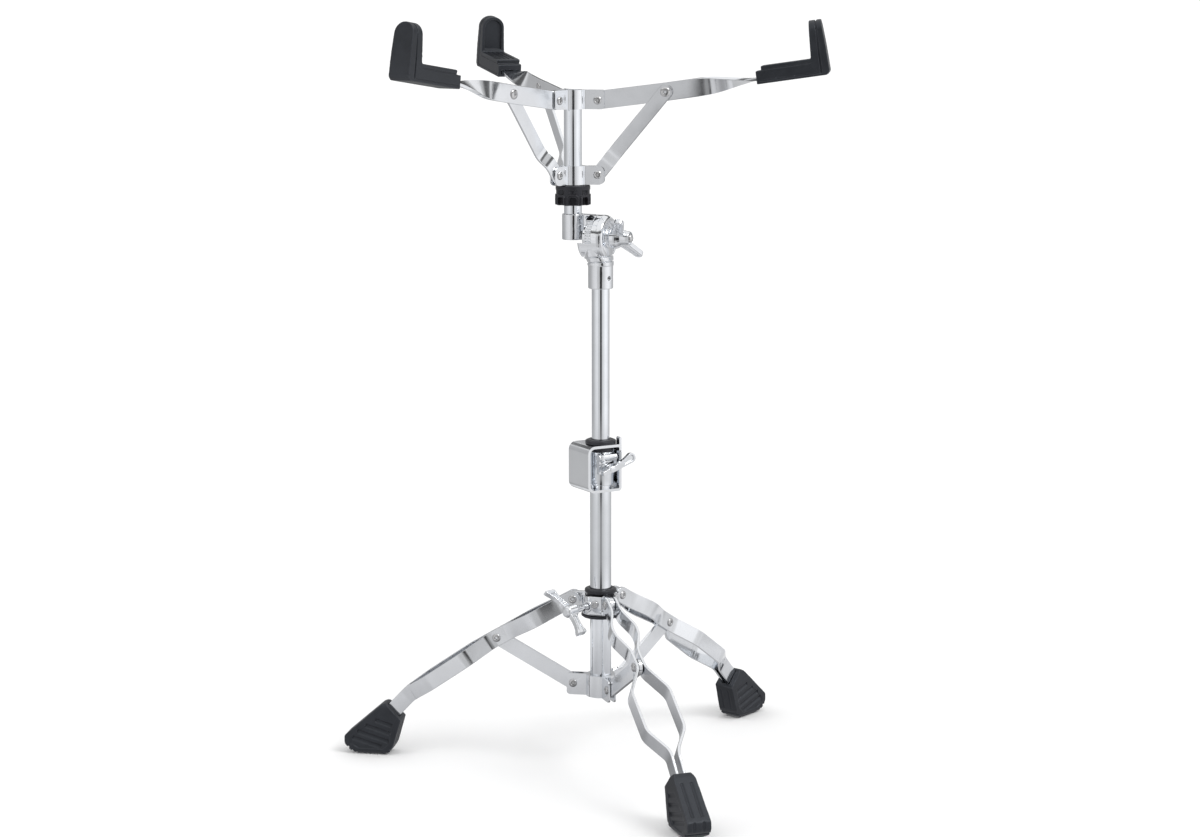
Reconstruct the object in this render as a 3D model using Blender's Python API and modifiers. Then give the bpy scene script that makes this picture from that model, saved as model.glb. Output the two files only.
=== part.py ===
"""Double-braced snare drum stand: folding tripod, two-stage column with a
height clamp, offset ratchet tilter and a three-arm folding basket.

World frame: +Z up, floor at z = 0, column axis on x = y = 0, the front leg
along -Y.  Every dimension below is in millimetres and is scaled to metres
when a mesh is made.
"""
import bpy
import bmesh
import math
from mathutils import Matrix, Vector

MM = 0.001

# ---------------------------------------------------------------- dimensions
# column
TUBE_R = 9.525            # lower tube, 19.05 mm outside
TUBE_BORE = 8.2
TUBE_Z = (66.0, 286.0)
INNER_R = 7.94            # height tube, 15.9 mm outside
INNER_BORE = 6.6
INNER_Z = (170.0, 454.0)

# tripod
LEG_AZ = (-90.0, 30.0, 150.0)
PIVOT_R = 24.7            # collar and hub pivots, from the column axis
TOP_PIVOT_Z = 152.4
LOW_PIVOT_Z = 74.6
MID_PIVOT = (94.9, 113.5)
LEG_BEND = (176.3, 57.3)
LEG_END = (196.8, 35.4)
STRIP_H = 14.5
STRIP_T = 2.5
# sideways offset of a strip's middle against its distance from the column
STRIP_PLAN = ((17.6, 4.1), (38.0, 4.1), (54.5, 11.0), (64.0, 11.0),
              (82.0, 3.2), (100.0, 3.2), (121.0, 17.3), (157.0, 17.3),
              (176.3, 3.3), (196.8, 3.3))
BRACE_W = 14.0
BRACE_T = 3.0
PIN_R = 2.0
HOLE_R = 2.3
HEAD_R = 3.5
HEAD_H = 1.1
FOOT_W = 22.0             # at its foot; it narrows upwards
FOOT_SIDE = ((183.6, 33.4), (190.8, 8.6), (194.8, 2.2), (200.5, 0.0),
             (222.5, 0.0), (230.5, 3.0), (236.8, 9.6), (236.6, 17.0),
             (202.6, 46.6), (198.2, 48.6))
COLLAR_Z = (140.0, 157.0)
COLLAR_R = 16.5
SCREW_AZ = -150.0         # radial wing screw of the collar
SCREW_Z = 149.0

# height clamp, turned about the column so its u axis points to this azimuth
CLAMP_AZ = 10.0
CLAMP_U = (-19.6, 14.6)
CLAMP_V = (-23.0, 12.0)
CLAMP_Z = (252.0, 294.0)
CLAMP_T = 2.4

# tilter
TILT_AZ = -45.0
TILT_Z = 477.5
ROD_OFF = 26.8            # basket rod beside the column, against the tilt axis
DISC_R = 19.8
NECK_R = 11.1
NECK_Z = (432.5, 456.0)

# basket
ARM_AZ = (-28.2, 91.8, -148.2)
ROD_R = 7.94
ROD_Z = (477.2, 604.6)
HUB_PIVOT_R = 22.2
ARM_PIVOT_Z = 596.4
ARM_MID = (81.6, 604.0)
STRUT_PIVOT_Z = 531.7
ARM_H = 16.0
ARM_T = 3.0
ARM_SLOPE = 0.143         # rise of the outer arm and of the grip
STRUT_W = 12.7
STRUT_T = 2.8
HUB_TOP_Z = (588.6, 605.4)
HUB_LOW_Z = (522.9, 539.3)
KNOB_Z = (504.9, 522.5)
KNOB_R = 15.3

# ------------------------------------------------------------ scene and tools
for ob in list(bpy.data.objects):
    bpy.data.objects.remove(ob, do_unlink=True)

scene = bpy.context.scene
parts = bpy.data.collections.new("snare_drum_stand")
scene.collection.children.link(parts)
cutters = bpy.data.collections.new("cutters")
scene.collection.children.link(cutters)


def material(name, colour, rough, metal):
    m = bpy.data.materials.new(name)
    m.use_nodes = True
    b = m.node_tree.nodes["Principled BSDF"]
    b.inputs["Base Color"].default_value = (*colour, 1.0)
    b.inputs["Roughness"].default_value = rough
    b.inputs["Metallic"].default_value = metal
    return m


FINISH = {
    "chrome": ((0.80, 0.81, 0.82), 0.12, 1.0),
    "steel": ((0.62, 0.63, 0.64), 0.28, 1.0),
    "rubber": ((0.025, 0.025, 0.027), 0.62, 0.0),
    "plastic": ((0.03, 0.03, 0.032), 0.42, 0.0),
}


def frame_at(az, base=(0.0, 0.0), z=0.0):
    """x outward at this azimuth, y sideways (to the left), z up."""
    return (Matrix.Translation((base[0] * MM, base[1] * MM, z * MM))
            @ Matrix.Rotation(math.radians(az), 4, 'Z'))


def side_on(az, base=(0.0, 0.0)):
    """x outward at this azimuth, y up, z towards the right-hand side."""
    return frame_at(az, base) @ Matrix.Rotation(math.radians(90), 4, 'X')


def link(name, mesh, matrix, finish, smooth=30.0):
    ob = bpy.data.objects.new(name, mesh)
    parts.objects.link(ob)
    ob.matrix_world = matrix
    c, r, m = FINISH[finish]
    mesh.materials.append(material(name, c, r, m))
    if smooth:
        mesh.shade_smooth()
        mesh.set_sharp_from_angle(angle=math.radians(smooth))
    return ob


def turned(name, profile, matrix, finish, steps=24):
    """Profile of (radius, height), outer side top to bottom, on a Screw."""
    mesh = bpy.data.meshes.new(name)
    pts = [(r * MM, 0.0, z * MM) for r, z in profile]
    closed = min(r for r, z in profile) > 0
    n = len(pts)
    edges = [(i, i + 1) for i in range(n - 1)] + ([(n - 1, 0)] if closed else [])
    mesh.from_pydata(pts, edges, [])
    ob = link(name, mesh, matrix, finish, smooth=None)
    s = ob.modifiers.new("turn", 'SCREW')
    s.axis = 'Z'
    s.angle = math.tau
    s.steps = s.render_steps = steps
    s.use_merge_vertices = True
    s.merge_threshold = 0.00002
    s.use_smooth_shade = True
    return ob


def flat_mesh(name, outline, holes, thick):
    """Flat outline of (x, y) points with holes, thick along z, centred."""
    cu = bpy.data.curves.new(name, 'CURVE')
    cu.dimensions = '2D'
    cu.fill_mode = 'BOTH'
    cu.extrude = thick * MM / 2
    for loop in [outline] + list(holes):
        sp = cu.splines.new('POLY')
        sp.points.add(len(loop) - 1)
        for p, (x, y) in zip(sp.points, loop):
            p.co = (x * MM, y * MM, 0.0, 1.0)
        sp.use_cyclic_u = True
    tmp = bpy.data.objects.new(name + "_curve", cu)
    scene.collection.objects.link(tmp)
    dg = bpy.context.evaluated_depsgraph_get()
    mesh = bpy.data.meshes.new_from_object(tmp.evaluated_get(dg))
    bpy.data.objects.remove(tmp, do_unlink=True)
    bpy.data.curves.remove(cu)
    bm = bmesh.new()
    bm.from_mesh(mesh)
    bmesh.ops.remove_doubles(bm, verts=bm.verts, dist=0.000005)
    bmesh.ops.recalc_face_normals(bm, faces=bm.faces)
    bm.to_mesh(mesh)
    bm.free()
    mesh.name = name
    mesh.materials.clear()
    return mesh


def plate(name, outline, holes, thick, matrix, finish):
    return link(name, flat_mesh(name, outline, holes, thick), matrix, finish)


def loft_mesh(name, rings):
    """Skin through rings of equal point count, closed by a cap at each end."""
    bm = bmesh.new()
    rows = [[bm.verts.new([c * MM for c in p]) for p in ring] for ring in rings]
    n = len(rows[0])
    for a, b in zip(rows, rows[1:]):
        for i in range(n):
            bm.faces.new((a[i], a[(i + 1) % n], b[(i + 1) % n], b[i]))
    bm.faces.new(rows[0])
    bm.faces.new(rows[-1])
    bmesh.ops.recalc_face_normals(bm, faces=bm.faces)
    mesh = bpy.data.meshes.new(name)
    bm.to_mesh(mesh)
    bm.free()
    return mesh


def cyl_mesh(name, radius, depth, steps, radius2=None):
    bm = bmesh.new()
    bmesh.ops.create_cone(bm, cap_ends=True, segments=steps, radius1=radius * MM,
                          radius2=(radius if radius2 is None else radius2) * MM,
                          depth=depth * MM)
    mesh = bpy.data.meshes.new(name)
    bm.to_mesh(mesh)
    bm.free()
    return mesh


def box_mesh(name, lo, hi):
    bm = bmesh.new()
    bmesh.ops.create_cube(bm, size=1.0)
    for v in bm.verts:
        v.co = [((lo[k] + hi[k]) / 2 + v.co[k] * (hi[k] - lo[k])) * MM
                for k in range(3)]
    mesh = bpy.data.meshes.new(name)
    bm.to_mesh(mesh)
    bm.free()
    return mesh


def cutter(name, mesh, matrix):
    ob = bpy.data.objects.new(name, mesh)
    cutters.objects.link(ob)
    ob.matrix_world = matrix
    ob.hide_render = True
    ob.display_type = 'WIRE'
    return ob


def boolean(ob, tool, how='DIFFERENCE'):
    m = ob.modifiers.new(how.lower(), 'BOOLEAN')
    m.operation = how
    m.object = tool
    m.solver = 'EXACT'
    return m


def arc(cx, cy, r, a0, a1, n):
    return [(cx + r * math.cos(math.radians(a0 + (a1 - a0) * i / n)),
             cy + r * math.sin(math.radians(a0 + (a1 - a0) * i / n)))
            for i in range(n + 1)]


def circle(cx, cy, r, n):
    return arc(cx, cy, r, 0, 360, n)[:-1]


def unit(x, y):
    d = math.hypot(x, y)
    return x / d, y / d


def mitre(pts):
    """Unit normals and stretch factors of a polyline's corners."""
    out = []
    for i in range(len(pts)):
        d = []
        if i > 0:
            d.append(unit(pts[i][0] - pts[i - 1][0], pts[i][1] - pts[i - 1][1]))
        if i < len(pts) - 1:
            d.append(unit(pts[i + 1][0] - pts[i][0], pts[i + 1][1] - pts[i][1]))
        n0, n1 = (-d[0][1], d[0][0]), (-d[-1][1], d[-1][0])
        n = unit(n0[0] + n1[0], n0[1] + n1[1])
        out.append((n, 1.0 / (n[0] * n0[0] + n[1] * n0[1])))
    return out


def interp(x, table):
    for (x0, y0), (x1, y1) in zip(table, table[1:]):
        if x <= x1:
            return y0 + (y1 - y0) * (x - x0) / (x1 - x0)
    return table[-1][1]


def empty(name, x, y, z):
    ob = bpy.data.objects.new(name, None)
    parts.objects.link(ob)
    ob.location = (x * MM, y * MM, z * MM)
    ob.empty_display_size = 0.01
    return ob


def mount_on(em, *obs):
    for ob in obs:
        ob.parent = em
        ob.matrix_parent_inverse = Matrix.Translation(-em.location)


def at(az, r, base=(0.0, 0.0)):
    a = math.radians(az)
    return base[0] + r * math.cos(a), base[1] + r * math.sin(a)


# ------------------------------------------------------------------ strip bars
def bar_rings(centre, plan, high, thick, side=1.0):
    """Rings of a flat bar on edge.

    centre: (x, z) points of the bar's middle line in its upright plane.
    plan:   sideways offset of the bar's middle at each of those points.
    high:   bar height at each point; it stays square to the middle line.
    """
    run = [0.0]
    for a, b in zip(centre, centre[1:]):
        run.append(run[-1] + math.hypot(b[0] - a[0], b[1] - a[1]))
    across = mitre([(s, y) for s, y in zip(run, plan)])
    up = mitre(centre)
    rings = []
    for i, (x, z) in enumerate(centre):
        (ux, uz), ku = up[i]
        tx, tz = uz, -ux                    # along the bar
        (ns, ny), kn = across[i]
        ring = []
        for st, sh in ((-1, -1), (1, -1), (1, 1), (-1, 1)):
            s = st * thick / 2 * kn
            h = sh * high[i] / 2 * ku
            ring.append((x + ns * s * tx + h * ux,
                         side * (plan[i] + ny * s),
                         z + ns * s * tz + h * uz))
        rings.append(ring)
    return rings


def leg_line(r):
    return interp(r, ((0.0, TOP_PIVOT_Z + PIVOT_R * (TOP_PIVOT_Z - MID_PIVOT[1])
                       / (MID_PIVOT[0] - PIVOT_R)),
                      MID_PIVOT, LEG_BEND, LEG_END))


def rivet(name, matrix, lo, hi, steps=12):
    """Pin along local z with a head outside each of the faces lo and hi."""
    a, b = lo - 0.25, hi + 0.25
    return turned(name, [(0, b + HEAD_H), (HEAD_R, b + HEAD_H), (HEAD_R, b),
                         (PIN_R, b), (PIN_R, a), (HEAD_R, a),
                         (HEAD_R, a - HEAD_H), (0, a - HEAD_H)],
                  matrix, "steel", steps)


# ---------------------------------------------------------------------- column
EYE = Matrix.Identity(4)
lower_tube = turned("lower_tube", [(TUBE_R, TUBE_Z[1]), (TUBE_R, TUBE_Z[0]),
                                   (TUBE_BORE, TUBE_Z[0]), (TUBE_BORE, TUBE_Z[1])],
                    EYE, "chrome", 28)
upper_tube = turned("upper_tube", [(INNER_R, INNER_Z[1]), (INNER_R, INNER_Z[0]),
                                   (INNER_BORE, INNER_Z[0]), (INNER_BORE, INNER_Z[1])],
                    EYE, "chrome", 28)
plug = turned("tube_end_plug", [(0, 74.0), (7.9, 74.0), (7.9, 65.7), (9.3, 65.7),
                                (9.3, 63.6), (0, 63.6)], EYE, "plastic", 20)

# ---------------------------------------------------------------------- tripod
collar_em = empty("collar_frame", *at(LEG_AZ[0], PIVOT_R), TOP_PIVOT_Z)


def tab_outline(x_in, x_pin, z_pin, r, z_low, z_top):
    """Tab from x_in to a round end about its pin."""
    pts = [(x_in, z_low), (x_pin, z_pin - r)]
    pts += arc(x_pin, z_pin, r, -75, 75, 6)
    pts += [(x_pin, z_pin + r), (x_in, z_top)]
    return pts


# collar: ring body with three solid lugs for the leg strips
collar = turned("collar", [(COLLAR_R - 0.8, COLLAR_Z[1]), (COLLAR_R, COLLAR_Z[1] - 0.8),
                           (COLLAR_R, COLLAR_Z[0]), (9.9, COLLAR_Z[0]),
                           (9.9, COLLAR_Z[1])], EYE, "chrome", 30)
for k, az in enumerate(LEG_AZ):
    tab = cutter("collar_lug_%d" % (k + 1),
                 flat_mesh("collar_lug", tab_outline(14.8, PIVOT_R, TOP_PIVOT_Z, 6.6,
                                                     145.8, 159.0),
                           [circle(PIVOT_R, TOP_PIVOT_Z, HOLE_R, 12)], 5.0),
                 side_on(az))
    boolean(collar, tab, 'UNION')
screw_bore = cutter("collar_screw_bore", cyl_mesh("bore", 3.3, 12.0, 14),
                    frame_at(SCREW_AZ, z=SCREW_Z)
                    @ Matrix.Translation((0.014, 0, 0))
                    @ Matrix.Rotation(math.radians(90), 4, 'Y'))
boolean(collar, screw_bore)
collar_ring = turned("collar_top_ring",
                     [(12.8, 162.4), (14.0, 161.4), (14.0, 158.4), (13.2, 157.3),
                      (9.9, 157.3), (9.9, 162.4)], EYE, "plastic", 28)
collar_lip = turned("collar_lower_ring",
                    [(17.2, 139.6), (17.2, 138.0), (16.4, 137.2), (9.9, 137.2),
                     (9.9, 139.6)], EYE, "plastic", 28)


def wing_outline(hub, root, span, tip, rise, n=6):
    """Half outline of a wing: x outward along the span, y along the axis."""
    pts = [(hub, -root / 2), (span - tip, rise - tip)]
    pts += arc(span - tip, rise, tip, -90, 90, n)[1:]
    pts += [(hub, root / 2)]
    return pts


# wing screw: shank, boss and two swept wings; local z runs outward
screw_m = (frame_at(SCREW_AZ, z=SCREW_Z)
           @ Matrix.Rotation(math.radians(90), 4, 'Y')
           @ Matrix.Rotation(math.radians(50), 4, 'Z'))
wing_screw = turned("collar_wing_screw",
                    [(0, 49.0), (3.6, 49.0), (5.2, 47.0), (5.6, 37.0), (3.0, 36.0),
                     (3.0, 10.4), (0, 10.4)], screw_m, "chrome", 16)
for s in (1, -1):
    w = cutter("collar_wing_%s" % ("a" if s > 0 else "b"),
               flat_mesh("wing", [(x * s, y) for x, y in
                                  wing_outline(3.0, 9.0, 25.0, 4.8, 8.0)], [], 3.2),
               screw_m @ Matrix.Translation((0, 0, 0.0420))
               @ Matrix.Rotation(math.radians(90), 4, 'X'))
    boolean(wing_screw, w, 'UNION')

# lower hub: ring with a pair of plates on each side of every brace
HUB_GAP = BRACE_T / 2 + 0.4
HUB_PLATE = 1.6


def fork_outline(azimuths, ring_r, floor_r, tip_r, gap, sheet, arcs=5):
    """Plan outline of a ring that carries a forked lug at each azimuth."""
    y2 = gap + sheet
    x_ring = math.sqrt(ring_r ** 2 - y2 ** 2)
    half = math.degrees(math.atan2(y2, x_ring))
    pts = []
    order = sorted(a % 360 for a in azimuths)
    for i, az in enumerate(order):
        a = math.radians(az)
        for x, y in ((x_ring, -y2), (tip_r, -y2), (tip_r, -gap), (floor_r, -gap),
                     (floor_r, gap), (tip_r, gap), (tip_r, y2), (x_ring, y2)):
            pts.append((x * math.cos(a) - y * math.sin(a),
                        x * math.sin(a) + y * math.cos(a)))
        nxt = order[(i + 1) % len(order)] + (360 if i == len(order) - 1 else 0)
        pts += arc(0, 0, ring_r, az + half, nxt - half, arcs)[1:-1]
    return pts


low_z = (64.0, 83.6)
lower_hub = plate("tripod_lower_hub",
                  fork_outline(LEG_AZ, 13.0, 15.4, 30.6, HUB_GAP, HUB_PLATE),
                  [circle(0, 0, 9.85, 28)], low_z[1] - low_z[0],
                  Matrix.Translation((0, 0, (low_z[0] + low_z[1]) / 2 * MM)), "chrome")
for k, az in enumerate(LEG_AZ):
    boolean(lower_hub, cutter("hub_pin_hole_%d" % (k + 1), cyl_mesh("pin", HOLE_R, 16, 12),
                              side_on(az) @ Matrix.Translation(
                                  (PIVOT_R * MM, LOW_PIVOT_Z * MM, 0))))

for k, az in enumerate(LEG_AZ):
    n = k + 1
    flat = frame_at(az)
    side = side_on(az)
    top_pin = side @ Matrix.Translation((PIVOT_R * MM, TOP_PIVOT_Z * MM, 0))
    mid_pin = side @ Matrix.Translation((MID_PIVOT[0] * MM, MID_PIVOT[1] * MM, 0))
    low_pin = side @ Matrix.Translation((PIVOT_R * MM, LOW_PIVOT_Z * MM, 0))
    cut_top = cutter("leg_top_hole_%d" % n, cyl_mesh("pin", HOLE_R, 20, 12), top_pin)
    cut_mid = cutter("leg_mid_hole_%d" % n, cyl_mesh("pin", HOLE_R, 20, 12), mid_pin)
    leg_em = empty("leg_%d_frame" % n, *at(az, MID_PIVOT[0]), MID_PIVOT[1])
    brace_em = empty("brace_%d_frame" % n, *at(az, PIVOT_R), LOW_PIVOT_Z)

    xs = [17.9, 19.4, 21.8, PIVOT_R, 38.0, 54.5, 64.0, 82.0, MID_PIVOT[0], 100.0,
          121.0, 157.0, LEG_BEND[0], LEG_END[0]]
    high = [6.0, 10.4, 13.4] + [STRIP_H] * 11
    for name, s in (("a", 1.0), ("b", -1.0)):
        rings = bar_rings([(x, leg_line(x)) for x in xs],
                          [interp(x, STRIP_PLAN) for x in xs], high, STRIP_T, s)
        strip = link("leg_%d_strip_%s" % (n, name),
                     loft_mesh("leg_strip", rings), flat, "chrome", 18)
        boolean(strip, cut_top)
        boolean(strip, cut_mid)
        mount_on(leg_em, strip)

    foot = plate("leg_%d_foot" % n, FOOT_SIDE, [], 30.0, side, "rubber")
    hw = FOOT_W / 2
    face = ([(-hw + 6.0, -1.0)] + arc(hw - 5.5, 5.0, 5.5, -65, 0, 3)
            + [(hw - 1.0, 42.0)] + arc(hw - 7.0, 43.2, 6.0, 0, 90, 3)
            + arc(-hw + 7.0, 43.2, 6.0, 90, 180, 3) + [(-hw + 1.0, 42.0)]
            + arc(-hw + 5.5, 5.0, 5.5, 180, 245, 3))
    face = face[1:]
    boolean(foot, cutter("foot_face_%d" % n, flat_mesh("face", face, [], 160.0),
                         side @ Matrix.Translation((0.21, 0, 0))
                         @ Matrix.Rotation(math.radians(90), 4, 'Y')), 'INTERSECT')
    d = unit(LEG_END[0] - LEG_BEND[0], LEG_END[1] - LEG_BEND[1])
    ang = math.atan2(d[1], d[0])
    pocket = cutter("foot_pocket_%d" % n,
                    box_mesh("pocket", (-20.0, -STRIP_H / 2 - 0.4, -5.0),
                             (0.5, STRIP_H / 2 + 0.4, 5.0)),
                    side @ Matrix.Translation((LEG_END[0] * MM, LEG_END[1] * MM, 0))
                    @ Matrix.Rotation(ang, 4, 'Z'))
    boolean(foot, pocket)
    mount_on(leg_em, foot)

    length = math.hypot(MID_PIVOT[0] - PIVOT_R, MID_PIVOT[1] - LOW_PIVOT_Z)
    tilt = math.atan2(MID_PIVOT[1] - LOW_PIVOT_Z, MID_PIVOT[0] - PIVOT_R)
    w = BRACE_W / 2
    brace = plate("brace_%d" % n,
                  arc(length, 0, w, -90, 90, 8) + arc(0, 0, w, 90, 270, 8),
                  [circle(0, 0, HOLE_R, 12), circle(length, 0, HOLE_R, 12)], BRACE_T,
                  low_pin @ Matrix.Rotation(tilt, 4, 'Z'), "chrome")
    mount_on(brace_em, brace)

    top_rivet = rivet("rivet_leg_top_%d" % n, top_pin, -5.35, 5.35)
    mid_rivet = rivet("rivet_leg_mid_%d" % n, mid_pin, -4.45, 4.45)
    low_rivet = rivet("rivet_brace_%d" % n, low_pin, -HUB_GAP - HUB_PLATE,
                      HUB_GAP + HUB_PLATE)
    mount_on(leg_em, mid_rivet)
    mount_on(collar_em, top_rivet)
mount_on(collar_em, collar, collar_ring, collar_lip)
screw_em = empty("collar_screw_frame", *at(SCREW_AZ, 30.0), SCREW_Z)
mount_on(screw_em, wing_screw)

# ---------------------------------------------------------------- height clamp
clamp = frame_at(CLAMP_AZ)
u0, u1 = CLAMP_U
v0, v1 = CLAMP_V
z0, z1 = CLAMP_Z
# strap bent to a rectangular loop, seen along its width (v); u right, z up
ro, ri = 7.0, 7.0 - CLAMP_T
t = CLAMP_T


def loop(a0, a1, b0, b1, r, n=5):
    return (arc(a1 - r, b1 - r, r, 0, 90, n) + arc(a0 + r, b1 - r, r, 90, 180, n)
            + arc(a0 + r, b0 + r, r, 180, 270, n) + arc(a1 - r, b0 + r, r, 270, 360, n))


# side_on puts the width along -y of the clamp frame
bracket = plate("clamp_bracket", loop(u0, u1, z0, z1, ro),
                [loop(u0 + t, u1 - t, z0 + t, z1 - t, ri)], v1 - v0,
                side_on(CLAMP_AZ) @ Matrix.Translation((0, 0, (v0 + v1) / 2 * MM)),
                "chrome")
boolean(bracket, cutter("bracket_top_hole", cyl_mesh("hole", 12.6, 12, 28),
                        Matrix.Translation((0, 0, z1 * MM))))
boolean(bracket, cutter("bracket_low_hole", cyl_mesh("hole", 9.9, 12, 28),
                        Matrix.Translation((0, 0, z0 * MM))))
sleeve = turned("clamp_sleeve", [(10.9, 287.6), (11.4, 287.0), (11.4, 257.6),
                                 (9.85, 257.6), (9.85, 287.6)], EYE, "chrome", 28)
bushing = turned("clamp_bushing",
                 [(13.2, 299.4), (14.4, 298.4), (14.4, 294.4), (12.2, 294.4),
                  (12.2, 288.0), (8.3, 288.0), (8.3, 299.4)], EYE, "plastic", 28)

# lever screw across the front of the clamp; local z points out of the clamp
lever_m = (frame_at(CLAMP_AZ - 90, z=273.5)
           @ Matrix.Rotation(math.radians(90), 4, 'Y')
           @ Matrix.Rotation(math.radians(90), 4, 'Z'))
lever = turned("clamp_wing_screw",
               [(0, 22.6), (4.2, 22.6), (5.4, 21.4), (5.4, 17.0), (3.0, 16.4),
                (3.0, 12.3), (0, 12.3)], lever_m, "chrome", 16)
lev = [(-9.5, -3.4), (3.0, -3.0), (15.0, -1.8), (21.0, -0.4)]
lev += arc(21.0, 3.2, 3.6, -90, 90, 6)[1:]
lev += [(15.0, 4.4), (4.0, 3.4), (-9.5, 2.2)]
boolean(lever, cutter("lever_bar", flat_mesh("lever", lev, [], 3.6),
                      lever_m @ Matrix.Translation((0, 0, 0.0195))
                      @ Matrix.Rotation(math.radians(17), 4, 'Z')), 'UNION')
lever_em = empty("clamp_screw_frame", *at(CLAMP_AZ - 90, 18.0), 273.5)
mount_on(lever_em, lever)

# ---------------------------------------------------------------------- tilter
tilt_m = (frame_at(TILT_AZ, z=TILT_Z) @ Matrix.Rotation(math.radians(90), 4, 'Y'))
ROD = at(TILT_AZ, -ROD_OFF)


def on_axis(name, radius, t0, t1, steps, radius2=None):
    return cutter(name, cyl_mesh(name, radius, t1 - t0, steps, radius2),
                  tilt_m @ Matrix.Translation((0, 0, (t0 + t1) / 2 * MM)))


tilt_frame = frame_at(TILT_AZ, z=TILT_Z)      # x along the tilt axis, z up

# lower casting: cup about the tilt axis, neck and socket for the height tube
lower_cast = turned("tilter_lower_casting",
                    [(0, 9.0), (15.5, 9.0), (18.6, 7.4), (DISC_R, 4.6),
                     (DISC_R, -14.0), (0, -14.0)], tilt_m, "chrome", 32)
boolean(lower_cast, cutter("cup_open_half", box_mesh("half", (-30, -30, -4.0),
                                                     (-0.9, 30, 40)), tilt_frame))
neck_rings = []
for z, tt, pp, off in ((-24.5, NECK_R, NECK_R, 0.0), (-21.0, NECK_R + 0.4, NECK_R + 0.8, -0.2),
                       (-14.0, 11.3, 15.0, -2.0), (-7.0, 11.4, 18.2, -2.5)):
    neck_rings.append([(off + tt * math.copysign(abs(math.cos(a)) ** 0.8, math.cos(a)),
                        pp * math.copysign(abs(math.sin(a)) ** 0.8, math.sin(a)), z)
                       for a in (math.tau * i / 24 for i in range(24))])
boolean(lower_cast, cutter("casting_neck", loft_mesh("neck", neck_rings), tilt_frame),
        'UNION')
boolean(lower_cast, cutter("tube_socket", cyl_mesh("socket", NECK_R, NECK_Z[1] - NECK_Z[0], 28),
                           Matrix.Translation((0, 0, sum(NECK_Z) / 2 * MM))), 'UNION')
boolean(lower_cast, on_axis("ratchet_cavity", 17.9, -40.0, -0.9, 32))
boolean(lower_cast, cutter("tube_bore", cyl_mesh("bore", 8.25, 40, 28),
                           Matrix.Translation((0, 0, (454.6 - 20.0) * MM))))
boolean(lower_cast, on_axis("bolt_hole_lower", 4.35, -5.0, 20.0, 16))
SET_AZ = -66.0
set_m = (frame_at(SET_AZ, z=442.0) @ Matrix.Rotation(math.radians(90), 4, 'Y'))
boolean(lower_cast, cutter("set_screw_hole", cyl_mesh("hole", 2.1, 8.0, 10),
                           set_m @ Matrix.Translation((0, 0, 0.011))))
set_screw = turned("tilter_set_screw", [(0, 10.6), (1.8, 10.6), (1.8, 8.35), (0, 8.35)],
                   set_m, "steel", 10)

# upper casting: ratchet disc, web and socket for the basket rod
upper_cast = turned("tilter_upper_casting",
                    [(0, -1.2), (17.5, -1.2), (17.5, -12.0), (15.5, -13.4),
                     (0, -13.4)], tilt_m, "chrome", 32)
boolean(upper_cast, cutter("casting_web", box_mesh("web", (-24.0, -7.0, -2.6),
                                                   (-8.0, 7.0, 17.0)), tilt_frame), 'UNION')
boolean(upper_cast, cutter("rod_socket", cyl_mesh("socket", 9.7, 22.8, 28),
                           Matrix.Translation((ROD[0] * MM, ROD[1] * MM, 485.9 * MM))),
        'UNION')
boolean(upper_cast, cutter("rod_bore", cyl_mesh("bore", 8.25, 40, 28),
                           Matrix.Translation((ROD[0] * MM, ROD[1] * MM, 496.9 * MM))))
boolean(upper_cast, on_axis("bolt_hole_upper", 4.35, -14.6, 5.0, 16))

bolt = turned("tilter_bolt", [(0, 30.6), (3.4, 30.6), (4.0, 30.0), (4.0, -13.0),
                              (0, -13.0)], tilt_m, "steel", 16)
WING_TURN = -36.0
nut_m = tilt_m @ Matrix.Rotation(math.radians(90 + WING_TURN), 4, 'Z')
wing_nut = turned("tilter_wing_nut",
                  [(5.0, 29.4), (6.2, 28.0), (7.2, 18.0), (9.6, 16.0), (9.6, 9.4),
                   (4.35, 9.4), (4.35, 29.4)], nut_m, "chrome", 20)
for s in (1, -1):
    w = cutter("nut_wing_%s" % ("a" if s > 0 else "b"),
               flat_mesh("wing", [(x * s, y) for x, y in
                                  wing_outline(5.4, 8.6, 29.5, 4.2, 9.7)], [], 3.4),
               nut_m @ Matrix.Translation((0, 0, 0.0195))
               @ Matrix.Rotation(math.radians(90), 4, 'X'))
    boolean(wing_nut, w, 'UNION')

mast_em = empty("height_tube_frame", 0, 0, 286.0)
mount_on(mast_em, upper_tube, lower_cast, bolt, set_screw)
tilt_em = empty("tilt_frame", 0, 0, TILT_Z)
nut_em = empty("wing_nut_frame", *at(TILT_AZ, 12.0), TILT_Z)
mount_on(nut_em, wing_nut)

# ---------------------------------------------------------------------- basket
rod_m = Matrix.Translation((ROD[0] * MM, ROD[1] * MM, 0))
rod = turned("basket_rod", [(0, ROD_Z[1]), (ROD_R, ROD_Z[1]), (ROD_R, ROD_Z[0]),
                            (0, ROD_Z[0])], rod_m, "chrome", 28)
ARM_GAP = ARM_T / 2 + 0.35
FORK = fork_outline(ARM_AZ, 11.4, 13.4, 28.2, ARM_GAP, 1.5)


def basket_hub(name, zs, bore, pivot_z):
    ob = plate(name, FORK, [circle(0, 0, bore, 28)], zs[1] - zs[0],
               rod_m @ Matrix.Translation((0, 0, sum(zs) / 2 * MM)), "chrome")
    for k, az in enumerate(ARM_AZ):
        boolean(ob, cutter("%s_pin_%d" % (name, k + 1), cyl_mesh("pin", HOLE_R, 14, 12),
                           side_on(az, ROD) @ Matrix.Translation(
                               (HUB_PIVOT_R * MM, pivot_z * MM, 0))))
    return ob


upper_hub = basket_hub("basket_upper_hub", HUB_TOP_Z, 8.25, ARM_PIVOT_Z)
slide_hub = basket_hub("basket_lower_hub", HUB_LOW_Z, 8.3, STRUT_PIVOT_Z)

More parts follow.
